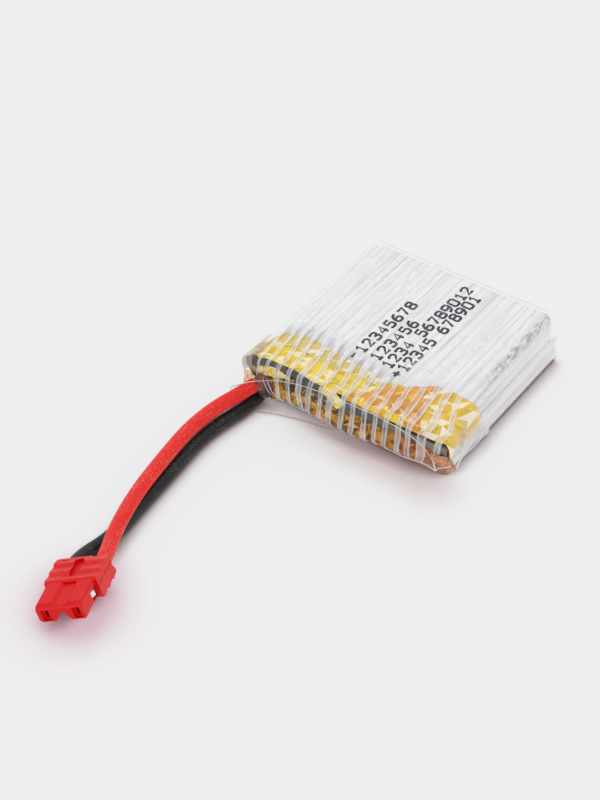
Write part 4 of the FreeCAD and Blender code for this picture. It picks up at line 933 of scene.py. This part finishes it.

# %% [markdown]
# ## Crinkled sheets
# Tape that is pressed on by hand breaks into flat facets with sharp creases between them. Such a
# sheet starts as a coarse grid. Its points are shuffled a little along the sheet and up and down,
# every square is cut into triangles, and the faces stay flat. Each face also carries a random
# number, from which the material gives it a painted shade or light, as a tilted facet would show.
#
# All the tapes lie on the surface that the film follows, so one function gives a place on it from
# the distance across the pack and the distance forwards, over the edge and down.

# %% The wrapped surface
TOP_RUN = PLEATS_FROM - TURN_CENTRE.y
EDGE_RUN = TOP_RUN + EDGE_RADIUS * math.pi / 2
ARC_LENGTH = math.pi / 2 * (SHOULDER_WIDTH + SHOULDER_HEIGHT) / 2
SMALL_STEP = 1e-3


def section_at(across, inset):
    """A point of the sleeve's section at a distance across from the middle, set inwards."""
    side = 1 if across >= 0 else -1
    reach = abs(across)
    if reach <= FLAT_HALF:
        return side * reach, ROOF - inset
    if reach <= FLAT_HALF + ARC_LENGTH:
        angle = (reach - FLAT_HALF) / ARC_LENGTH * math.pi / 2
        x = FLAT_HALF + (SHOULDER_WIDTH - inset) * math.sin(angle)
        return side * x, ROOF - SHOULDER_HEIGHT + (SHOULDER_HEIGHT - inset) * math.cos(angle)
    down = reach - FLAT_HALF - ARC_LENGTH
    return side * (HALF_WIDTH - inset), ROOF - SHOULDER_HEIGHT - down


def on_wrap(across, run, inset):
    if run > EDGE_RUN:
        return Vector((across, FRONT + inset, TURN_CENTRE.z - (run - EDGE_RUN)))
    x, z = section_at(across, inset)
    if run <= TOP_RUN:
        return Vector((x, PLEATS_FROM - run, z))
    angle = (run - TOP_RUN) / EDGE_RADIUS
    rise = z - TURN_CENTRE.z
    if rise <= 0:
        return Vector((x, TURN_CENTRE.y - angle * (EDGE_RADIUS - inset) * 0.6, z))
    return Vector((x, TURN_CENTRE.y - rise * math.sin(angle),
                   TURN_CENTRE.z + rise * math.cos(angle)))


def lean(place, s, t, along_s, along_t):
    """The way that a sheet runs at a place, for a small step along it."""
    return (Vector(place(min(s + along_s, 1), min(t + along_t, 1)))
            - Vector(place(max(s - along_s, 0), max(t - along_t, 0))))


def crinkled_sheet(name, grid, place, crumple, seed, material, slot, *stands_for):
    """A faceted sheet; place(s, t) gives a point in mm for s and t from 0 to 1.

    The grid is its columns and rows. Crumple is how far its points are shuffled, as a share of
    a square, and how far they rise in mm."""
    (columns, rows), (shuffle, rise) = grid, crumple
    rng = random.Random(seed)
    bm = bmesh.new()
    bmesh.ops.create_grid(bm, x_segments=columns, y_segments=rows, size=0.5)
    for vert in bm.verts:
        s, t = vert.co.x + 0.5, vert.co.y + 0.5
        if 1e-4 < s < 1 - 1e-4 and 1e-4 < t < 1 - 1e-4:
            s += rng.uniform(-1, 1) * shuffle / columns
            t += rng.uniform(-1, 1) * shuffle / rows
        spot = Vector(place(s, t))
        normal = lean(place, s, t, SMALL_STEP, 0).cross(lean(place, s, t, 0, SMALL_STEP))
        if normal.length > 0:
            spot += normal.normalized() * rng.uniform(-1, 1) * rise
        vert.co = spot
    bmesh.ops.triangulate(bm, faces=bm.faces, quad_method="ALTERNATE")
    tone = bm.faces.layers.float.new("facet")
    for face in bm.faces:
        face[tone] = rng.random()
    put_on(mesh_object(name, bm), material, slot, *stands_for)


# %% [markdown]
# ## The yellow tape
# One wide tape goes over the top and down both sides. Its rear edge was torn, not cut: it swings
# back on the right and dips in the middle. The front edge turns just over the rim.

# %% Yellow tape
TORN_EDGE = (
    (-17.5, -9), (-13.6, -9.3), (-12.6, -8.4), (-10.6, -7.7), (-9.2, -7.3), (-6.9, -7.4),
    (-4.6, -7.8), (-1.8, -8.1), (0.5, -8.3), (2.9, -8.8), (4.9, -8.3), (7.1, -6.8), (8.6, -6),
    (9.7, -5.8), (11.5, -6.1), (12.9, -6), (14.2, -5.4), (16, -4.6), (18, -4.4))
YELLOW_LEFT, YELLOW_RIGHT = -16.2, 18.3
YELLOW_INSET = 0.2
YELLOW_FRONT = (
    (-16.2, 0.95), (0.5, 0.95), (3.5, 1.45), (11.5, 1.52), (12.6, 1.5), (18.3, 1.4))


def yellow_place(s, t):
    across = YELLOW_LEFT + (YELLOW_RIGHT - YELLOW_LEFT) * s
    rear = PLEATS_FROM - between(TORN_EDGE, across)
    run = rear + (TOP_RUN + between(YELLOW_FRONT, across) - rear) * t
    return flare(on_wrap(across, run, YELLOW_INSET - 0.09 * smooth(11, 13, across)))


def build_facet_group():
    """Each facet of a tape gets a painted shade or light from its own number and from fine
    streaks.
    """
    group, (dark, middle, light), outside = new_group(
        "tape_facets", {"Dark": GREY, "Middle": GREY, "Light": GREY},
        {"Colour": GREY, "Facet": 0.5, "Relief": 0.5})
    facet = new_value(group, "Attribute", "Fac", attribute_name="facet")
    streaks = noise_value(group, (1.8, 0.5, 1.2), 4, 0.6, 0.5)
    level = facet * 0.42 + streaks * 0.75
    tone = level.span(0.7, 0.86).mix(level.span(0.3, 0.6).mix(dark, middle), light)
    for label, value in (("Colour", tone), ("Facet", facet), ("Relief", streaks)):
        feed(outside[label], value)
    return group


TAPE_FACETS = build_facet_group()
GLARE_TONE = (0.96, 0.91, 0.76)
GOLDEN_END = (0.8, 0.49, 0.003)
SINGLE_LAYER = (0.66, 0.53, 0.26)
LEFT_TONE = (0.62, 0.3, 0.03)
PALE_FLAP = (0.8, 0.66, 0.42)


def wide_tone(tree, tone, x, y):
    """The wide tape is golden on the right, pale where it lies single, and frayed at the left."""
    patches = noise_value(tree, (0.9, 0.5, 0.6), 2, 0.5, 0.6)
    golden = x.span(5, 9) * patches.fall(0.52, 0.6, 0.85)
    tone = golden.mix(tone, GOLDEN_END)
    behind = (y + patches.span(0.35, 0.65, -0.3, 0.3)).span(-9.9, -9.3)
    tone = (behind * x.fall(3, 5, 0.62)).mix(tone, SINGLE_LAYER)
    tone = (x.fall(-12.75, -12.3) * 0.6).mix(tone, LEFT_TONE)
    return x.fall(-12.95, -12.65, 0.85).mix(tone, PALE_FLAP)


def facet_tape(name, dark, middle, light, clear, glare=0.1, low_tone=None, wide=False):
    """Thin clear tape; glare is the share of the facets that get a painted glare."""
    material, tree = new_material(name)
    tone, facet, streaks = place_group(tree, TAPE_FACETS, Dark=dark, Middle=middle, Light=light)
    x, y, z = object_axes(tree)
    if wide:
        tone = wide_tone(tree, tone, x, y)
        # More facets get the painted glare towards the right end.
        facet = facet + x.span(5, 9) * 0.17
    tone = facet.span(1 - glare, 1 - glare * 0.6, 0, 0.85).mix(tone, GLARE_TONE)
    if low_tone:
        tone = z.fall(1.9, 3.2).mix(tone, low_tone)
    return finish_surface(
        material, Base_Color=tone, Roughness=0.14, Normal=streaks.bump(0.15, 0.5), Coat_Weight=0.5,
        Coat_Roughness=0.06, Alpha=1 - clear)


YELLOW_FACETS = facet_tape("yellow_facets", (0.6, 0.4, 0.002), (0.96, 0.7, 0.004),
                           (0.98, 0.8, 0.1), 0.03, glare=0.2,
                           low_tone=(0.86, 0.72, 0.46), wide=True)
crinkled_sheet("yellow_wrap", (26, 7), yellow_place, (0.42, 0.06), 11,
               YELLOW_FACETS, "yellow_tape", "top_tape")

# %% [markdown]
# ## The amber tape
# A second tape covers the front, where the circuit board shows through it as dark shapes. Its
# free end is folded back over the top on the right, and there it lies over the yellow tape and
# looks orange.

# %% Amber tape
AMBER_LEFT, AMBER_RIGHT = -12.8, 13.3
AMBER_TOP_RUN = EDGE_RUN + 0.2
AMBER_INSET = 0.21
AMBER_LOWER = 0.22
AMBER_TURNED = 0.7
PATCH_INSET = YELLOW_INSET - 0.06
# The folded end's two sides: how far along it, then x and y.
PATCH_LEFT = ((0, 0.1, -14.2), (0.16, 0.8, -12.7), (0.38, 2.5, -11.2), (0.58, 3.2, -9.7),
              (0.8, 5.9, -7.8), (1, 8.4, -6))
PATCH_RIGHT = ((0, 10.6, -14.3), (0.2, 10, -12.9), (0.42, 9.2, -10.9), (0.62, 8.7, -9),
               (0.8, 8.7, -7.5), (1, 8.9, -6))


def amber_place(s, t):
    across = AMBER_LEFT + (AMBER_RIGHT - AMBER_LEFT) * s
    depth = EDGE_RUN + TURN_CENTRE.z - between(LOWER_EDGE, across) + AMBER_LOWER
    spot = on_wrap(across, AMBER_TOP_RUN + (depth - AMBER_TOP_RUN) * t, AMBER_INSET)
    spot.y += AMBER_TURNED * smooth(0.75, 1, t) ** 2
    return flare(spot)


def patch_place(s, t):
    ends = [Vector([between(tuple((row[0], row[axis]) for row in side), t) for axis in (1, 2)])
            for side in (PATCH_LEFT, PATCH_RIGHT)]
    x, y = ends[0].lerp(ends[1], s)
    return flare(on_wrap(x, PLEATS_FROM - y, PATCH_INSET))


def amber_front_finish():
    """Golden below and towards the left, brown on the right, dark where the board shows; the
    facets get painted shade, glare and glints.
    """
    material, tree = new_material("amber_front")
    x, _, z = object_axes(tree)
    facet = new_value(tree, "Attribute", "Fac", attribute_name="facet")
    blotch = noise_value(tree, (0.55, 0.6, 0.75), 3, 0.6, 0.8)
    veins = noise_value(tree, (2.4, 1, 1.3), 4, 0.65, 0.6)
    right_end = x.span(2, 9)
    shade = facet.span(0.1, 0.95)
    gold = shade.mix((0.1, 0.036, 0.001), (0.72, 0.37, 0.012))
    brown = shade.mix((0.14, 0.028, 0.001), (0.74, 0.26, 0.008))
    dark = veins.span(0.44, 0.68).mix((0.018, 0.02, 0.012), (0.24, 0.15, 0.02))
    board = (z + blotch.span(0.3, 0.7, -1.1, 1.1)).span(4.2, 4.7) * x.span(-10.2, -8.8)
    seen = board * right_end.span(0, 1, 0.93, 0.55)
    tone = seen.mix(right_end.mix(gold, brown), dark)
    # A painted lemon glare at the upper left, then painted glints on some facets.
    lit = x.fall(-9.6, -8.4) * facet.span(0.25, 0.6) * z.span(4.6, 5.4, 0, 0.85)
    tone = lit.mix(tone, (0.95, 0.74, 0.08))
    tone = (facet * veins).span(0.52, 0.6, 0, 0.8).mix(tone, (0.95, 0.86, 0.6))
    return finish_surface(
        material, Base_Color=tone, Roughness=0.18, Normal=veins.bump(0.2, 0.6), Coat_Weight=0.05,
        Coat_Roughness=0.06, Specular_IOR_Level=0.12)


crinkled_sheet("amber_front", (26, 6), amber_place, (0.4, 0.05), 23, amber_front_finish(),
               "amber_tape", "front_tape")
AMBER_PATCH = facet_tape("amber_patch", (0.5, 0.17, 0.002), (0.84, 0.36, 0.004),
                         (0.96, 0.6, 0.06), 0.04, glare=0.08)
crinkled_sheet("amber_patch", (6, 7), patch_place, (0.42, 0.07), 31, AMBER_PATCH, "amber_tape")

# %% [markdown]
# ## The fibre strip
# A strip of black fibre is laid along the top of the board before it is taped. It was pushed up
# at the left and sags in the middle, so its two edges follow their own lines. In two places the
# yellow tape's front edge is turned down over the strip; there the yellow is brightened to lemon
# with painted glare.

# %% Fibre strip and turned-down tape
STRIP_TOP = ((-13, 7.1), (-10.8, 7.42), (-6.8, 7.45), (-3, 7.05), (0.3, 6.55), (3.8, 6.4),
             (7.2, 6.5), (10.1, 6.3), (12.9, 6.35))
STRIP_FOOT = ((-13, 5.7), (-11.8, 5.75), (-10.4, 6.55), (-8.2, 6.8), (-5.4, 6.4),
              (-1.8, 5.8), (0.5, 5.15), (4, 5.45), (7.4, 5.7), (10.1, 5.55), (12.9, 5.1))
STRIP_FROM, STRIP_TO = -12.95, 13.15
STRIP_REACH = 0.93
OVER_REACH = 0.985


def on_front_edge(top, low, left, right, reach):
    """Places between two lines of (x, z), at a distance from the middle of the rounded edge."""
    def place(s, t):
        x = left + (right - left) * s
        z = between(top, x) * (1 - t) + between(low, x) * t
        up = max(z - TURN_CENTRE.z, 0)
        return flare(Vector((x, TURN_CENTRE.y - math.sqrt(reach ** 2 - up ** 2), z)))
    return place


def fibre_finish():
    material, tree = new_material("black_fibre")
    cloth = noise_value(tree, (1.4, 1, 2.2), 5, 0.7, 0.4)
    tone = cloth.span(0.4, 0.7).mix((0.028, 0.03, 0.026), (0.15, 0.155, 0.135))
    tone = object_axes(tree)[0].span(4, 11, 0, 0.8).mix(tone, (0.26, 0.225, 0.175))
    return finish_surface(material, Base_Color=tone, Roughness=0.36, Normal=cloth.bump(0.2, 0.7))


crinkled_sheet("fibre_strip", (40, 3),
               on_front_edge(STRIP_TOP, STRIP_FOOT, STRIP_FROM, STRIP_TO, STRIP_REACH),
               (0.25, 0.015), 41, fibre_finish(), "black_strip", "insulating_strip")

# Lemon tape with much painted glare: a bright tone and many white facets.
LEMON = facet_tape("lemon_fold", (0.66, 0.46, 0.01), (0.97, 0.78, 0.03), (0.99, 0.92, 0.4),
                   0.05, glare=0.3)
LEFT_FOLD = (((-12, 6.15), (-10.6, 6.78), (-9.5, 7.02), (-8.3, 6.75), (-7.3, 6.3)),
             ((-12, 4.9), (-10.7, 5.2), (-9.7, 5.5), (-8.6, 5.9), (-7.3, 6.1)))
MIDDLE_FOLD = (((-3.3, 7), (-2.2, 7.4), (-1.2, 7.3), (0.35, 6.55)),
               ((-3.3, 6.7), (-1.9, 5.9), (-0.85, 4.8), (-0.3, 5.3), (0.35, 6.2)))
crinkled_sheet("left_fold", (9, 3), on_front_edge(*LEFT_FOLD, -12, -7.3, OVER_REACH),
               (0.35, 0.01), 43, LEMON, "yellow_tape")
crinkled_sheet("middle_fold", (7, 4), on_front_edge(*MIDDLE_FOLD, -3.3, 0.35, OVER_REACH),
               (0.35, 0.01), 47, LEMON, "yellow_tape")

# %% [markdown]
# ## Loose film and tape ends
# The sleeve is cut longer than the pack, and what is left over stays loose. Its upper lip hangs
# across the front, a fold of film closes over the two leads, and the corners end in points.
# Thin edges of clear film look white, because light leaves the sheet there.

# %% Tubes and lips
EDGE_WHITE = plain_finish("film_edge", (0.84, 0.83, 0.84), 0.22, 1.5, 0.06, coat=0.5)
RIM_STEPS, RIM_ROUNDNESS = 8, 2


def thin_edge(name, points, width, material, taper=None):
    """A fine rim along a smooth line, made mesh; it is built in mm and then made small."""
    line = smooth_line(name + "_line", points, width, 1, RIM_STEPS, RIM_ROUNDNESS, taper)
    mesh = take_mesh(name, line)
    mesh.transform(Matrix.Diagonal((MM, MM, MM, 1)))
    put_on(add_object(name, mesh), material, "clear_film")


def ruled_place(first, second):
    """A sheet between two lines of points: s runs along both, t from one to the other."""
    def along(line, s):
        spot = s * (len(line) - 1)
        index = min(int(spot), len(line) - 2)
        return Vector(line[index]).lerp(Vector(line[index + 1]), spot - index)
    return lambda s, t: along(first, s).lerp(along(second, s), t)


# %% The lip across the front
LIP = ((-13.9, -16.4, 3.75), (-13.1, -15.3, 4), (-12, -14.5, 4.25), (-10.6, -14.1, 4.75),
       (-8.6, -13.95, 5.55), (-6.8, -13.9, 6.05), (-4.4, -13.9, 6.5), (-1.2, -13.9, 6.8),
       (1.6, -13.9, 6.8), (4.4, -13.9, 6.9), (6.7, -13.92, 6.75), (9.4, -13.95, 6.35),
       (11.3, -13.98, 5.55), (12.6, -14, 4.4), (13.3, -14, 2.8))
thin_edge("film_lip", LIP, 0.075, EDGE_WHITE)

# %% The step where the tape lies double
STEP_LINE = ((-12.6, -11.6), (-11.6, -10.6), (-10.4, -9.84), (-8.8, -9.7), (-5.35, -9.95),
             (-1.2, -10.1), (1.8, -9.9), (3.7, -10))
STEP_INSET = 0.1
STEP_TONE = plain_finish("tape_step", (0.82, 0.8, 0.74), 0.3, 1.5, 0.08, coat=0.4)
thin_edge("tape_step", [flare(on_wrap(x, PLEATS_FROM - y, STEP_INSET)) for x, y in STEP_LINE],
          0.07, STEP_TONE)

# %% The sleeve's turned rim at the rear
# How far forward of the sleeve's end the rim lies, across the pack.
REAR_LINE = ((-12.3, 0.55), (-9, 0.75), (-5, 0.62), (-1, 0.8), (3, 0.66), (7, 0.82),
             (10, 0.6), (12.2, 0.7))
REAR_LIFT = 0.005
REAR_TONE = plain_finish("rear_rim", (0.6, 0.605, 0.62), 0.3, 1.5, 0.12, coat=0.4)
thin_edge("rear_rim", [(x, REAR - back, ROOF + REAR_LIFT) for x, back in REAR_LINE], 0.05,
          REAR_TONE)

# %% The clear point and the brown tape end at the right corner
LOOSE_FILM = film_finish("loose_film", haze=0.04, pleat_sheen_and_milk=0.7, streaky=0.3)
POINT_LOWER = ((8.14, -13.2, 1.62), (9.83, -13.5, 2.2), (11.88, -13.8, 2.8),
               (13.18, -13.95, 2.59), (13.96, -13.85, 3.43), (14.93, -13.5, 3.86))
POINT_UPPER = ((8.46, -13.3, 2.27), (10.14, -13.6, 3.07), (12.01, -13.85, 4.42),
               (12.77, -13.95, 4.11), (13.84, -13.8, 5), (14.6, -13.4, 5))
crinkled_sheet("clear_point", (10, 4), ruled_place(POINT_UPPER, POINT_LOWER), (0.3, 0.015), 51,
               LOOSE_FILM, "clear_film")
CORNER_RIM = ((5.6, -13, 1.55), (7, -13.05, 1.6), *POINT_LOWER[:3], (12.8, -13.92, 2.62),
              (13.18, -13.97, 2.56), (13.35, -13.95, 3), *POINT_LOWER[4:])
thin_edge("corner_rim", CORNER_RIM, 0.12, EDGE_WHITE)
POINT_CREASE = ((12.6, -13.97, 4.6), (12.77, -13.98, 4.11), (12.95, -14, 3.4),
                (13.18, -13.99, 2.62))
thin_edge("point_crease", POINT_CREASE, 0.1, EDGE_WHITE, (1, 1.6, 1.4, 0.8))
BROWN_END = plain_finish("brown_end", (0.5, 0.2, 0.09), 0.24, 0.8, 0.75, coat=0.6)
BROWN_UPPER = ((12.4, -14.02, 5.1), (13.6, -14.02, 5.3), (14.2, -13.9, 5.3), (14.65, -13.3, 5))
BROWN_LOWER = ((12.7, -14.02, 4), (13.9, -14.02, 3.75), (14.75, -13.2, 2.55),
               (15.1, -12.5, 2.7))
crinkled_sheet("brown_end", (6, 4), ruled_place(BROWN_UPPER, BROWN_LOWER), (0.4, 0.08), 57,
               BROWN_END, "amber_tape")
# A brown sheet before the pouch's lower front: partly a tucked tape end, partly painted shade that
# hides the pouch's pale corner in the floor's shadow.
TUCKED_SHADE = plain_finish("tucked_shade_sheet", (0.46, 0.22, 0.13), 0.35, 0.9, 0.35, coat=0.1)
TUCKED_SHADE_TOP = ((3, -11.97, 2.25), (7, -11.97, 2.25), (11, -11.95, 2.25),
              (12.6, -11.87, 2.25), (13.38, -11.52, 2.3))
TUCKED_SHADE_LOW = ((3, -11.93, 0.14), (7, -11.93, 0.14), (11, -11.91, 0.14),
              (12.6, -11.79, 0.14), (13.38, -11.48, 0.16))
crinkled_sheet("tucked_shade_sheet", (16, 3), ruled_place(TUCKED_SHADE_TOP, TUCKED_SHADE_LOW), (0.3, 0.02), 71,
               TUCKED_SHADE, "amber_tape")

# %% The sleeve's drawn-up edge along the right side
SIDE_RIM = ((14.95, -12.3, 2.5), (14.6, -11.1, 2.64), (14.35, -9.56, 2.35), (14.1, -6.47, 1.37),
            (13.95, -4.75, 1.34), (13.85, -2.68, 0.69))
SIDE_TOP = ((14.2, -12.3, 4.34), (14, -11.17, 4.51), (13.9, -9.69, 4.59), (13.85, -7.52, 4.55),
            (13.8, -6.12, 4.6), (13.78, -4, 4))
SIDE_FILM = film_finish("side_film", haze=0.22, pleat_sheen_and_milk=0.6, streaky=0.45)
crinkled_sheet("side_flap", (9, 3), ruled_place(SIDE_TOP, SIDE_RIM), (0.3, 0.04), 59, SIDE_FILM,
               "clear_film")
thin_edge("side_rim", SIDE_RIM, 0.11, EDGE_WHITE, (1.6, 1.5, 1.2, 1, 0.9, 0.5))

# %% The curl and the scrap at the left corner
CURL_MIDDLE_X, CURL_FRONT, CURL_MIDDLE_Z = -13.15, -13.95, 5.95
CURL_WIDE, CURL_HIGH, CURL_LONG = 1.05, 1.5, 4.6
CURL_FROM, CURL_TURN = 80, 150
CURL_NARROWS = 0.35
CURL_RIM_STEPS = 8
CURL_TAPE = facet_tape("curl_tape", (0.52, 0.38, 0.22), (0.76, 0.6, 0.36),
                       (0.88, 0.78, 0.6), 0.35)


def curl_place(s, t):
    """An open roll of tape that stands out from the upper left edge and narrows to the rear."""
    angle = math.radians(CURL_FROM + CURL_TURN * s)
    bulge = 1 - CURL_NARROWS * t
    return Vector((CURL_MIDDLE_X + CURL_WIDE * bulge * math.cos(angle), CURL_FRONT + CURL_LONG * t,
                   CURL_MIDDLE_Z + CURL_HIGH * math.sin(angle)))


crinkled_sheet("left_curl", (14, 6), curl_place, (0.2, 0.02), 61, CURL_TAPE, "yellow_tape")
thin_edge("curl_rim", [curl_place(s / CURL_RIM_STEPS, 0) for s in range(CURL_RIM_STEPS + 1)],
          0.1, EDGE_WHITE)
CURL_INSIDE = plain_finish("curl_inside", (0.4, 0.36, 0.4), 0.3, 1.2, 0.15, coat=0.5)
INSIDE_LEFT = ((-13.05, -13.35, 7.15), (-13.7, -13.35, 6.9), (-14.05, -13.35, 6.1),
               (-14, -13.35, 5.4), (-13.6, -13.35, 4.6), (-13.1, -13.4, 3.9))
INSIDE_RIGHT = ((-12.8, -13.2, 7), (-12.75, -13.2, 6.4), (-12.7, -13.2, 5.8),
                (-12.7, -13.2, 5.2), (-12.7, -13.2, 4.6), (-12.7, -13.3, 4))
crinkled_sheet("curl_inside", (5, 5), ruled_place(INSIDE_LEFT, INSIDE_RIGHT), (0.3, 0.05), 63,
               CURL_INSIDE, "yellow_tape")
SCRAP = facet_tape("amber_scrap", (0.6, 0.28, 0.04), (0.84, 0.52, 0.12), (0.92, 0.72, 0.36),
                   0.18)
SCRAP_TOP = ((-14.13, -13.7, 4.6), (-13.5, -13.8, 4.75), (-12.8, -13.9, 4.6), (-12.3, -13.95, 4.4))
SCRAP_LOW = ((-14.25, -13.7, 2.3), (-13.5, -13.9, 2.4), (-12.8, -13.95, 2.75),
             (-12.2, -14, 3.3))
crinkled_sheet("left_scrap", (5, 4), ruled_place(SCRAP_TOP, SCRAP_LOW), (0.4, 0.1), 67, SCRAP,
               "amber_tape")

# %% The dark fold where the leads go in
def fold_finish():
    """Film drawn into a fold: reddish above, where the lead shows, and nearly black below."""
    material, tree = new_material("entry_film")
    cloud = noise_value(tree, (1.6, 1, 1.1), 4, 0.6, 0.5)
    height = object_axes(tree)[2] + cloud.span(0.3, 0.7, -0.7, 0.7)
    tone = height.span(2.6, 4.3).mix((0.035, 0.026, 0.02), (0.25, 0.085, 0.075))
    tone = cloud.span(0.56, 0.68, 0, 0.55).mix(tone, (0.46, 0.26, 0.22))
    return finish_surface(
        material, Base_Color=tone, Roughness=0.22, Normal=cloud.bump(0.2, 0.5), Coat_Weight=0.3,
        Specular_IOR_Level=0.3)


FOLD_TOP = ((-12.15, -14.25, 4.84), (-11.56, -14.15, 5.3), (-10.68, -13.95, 5.28),
            (-9.88, -13.85, 5.05))
FOLD_LOW = ((-11.97, -14.35, 2.62), (-11.46, -14.3, 1.99), (-10.87, -14, 1.75),
            (-9.9, -13.85, 2.33))
crinkled_sheet("entry_fold", (6, 6), ruled_place(FOLD_TOP, FOLD_LOW), (0.3, 0.08), 73,
               fold_finish(), "clear_film")
# Two pale stripes where pleats cross the fold: painted sheen with the film's milkiness.
FOLD_SHEEN = plain_finish("fold_sheen", (0.5, 0.44, 0.44), 0.25, 1.5, 0.1, coat=0.4)
FOLD_STRIPES = (
    ((-10.95, -14.2, 5.1), (-10.87, -14.36, 4.88), (-10.45, -14.34, 3.82),
     (-9.95, -14.2, 3), (-9.8, -14.1, 2.8)),
    ((-10.4, -14.2, 5.2), (-10.29, -14.32, 5.01), (-9.86, -14.3, 3.96),
     (-9.4, -14.2, 3.1), (-9.25, -14.1, 2.85)))
for order, line in enumerate(FOLD_STRIPES, 1):
    thin_edge(f"fold_stripe_{order}", line, 0.15, FOLD_SHEEN, (0.4, 1, 1.1, 0.8, 0.3))

# %% The loose wisp over the leads, and the film's edge on the floor
GREY_EDGE = plain_finish("grey_edge", (0.3, 0.31, 0.33), 0.25, 1.5, 0.06, coat=0.5)
WISP = ((-13.76, -17, 3.72), (-13.86, -16.7, 4), (-13.66, -16.3, 4.08), (-13.2, -15.8, 4.05),
        (-12.7, -15.2, 4.1))
thin_edge("lead_wisp", WISP, 0.07, GREY_EDGE, (0.6, 1, 1, 0.9, 0.4))
SEAM_BROWN = plain_finish("seam_brown", (0.66, 0.57, 0.51), 0.3, 1.5, 0.1, coat=0.4)
FLOOR_LINE = ((-11.87, -15.3, 0.07), (-10.8, -14.75, 0.07), (-9.39, -14.14, 0.07),
              (-7.88, -13.68, 0.07), (-6.36, -13.26, 0.07), (-4.65, -12.95, 0.07),
              (-2, -12.6, 0.07))
thin_edge("floor_edge", FLOOR_LINE, 0.07, SEAM_BROWN, (0.6, 1, 1, 1, 1, 0.8, 0.3))
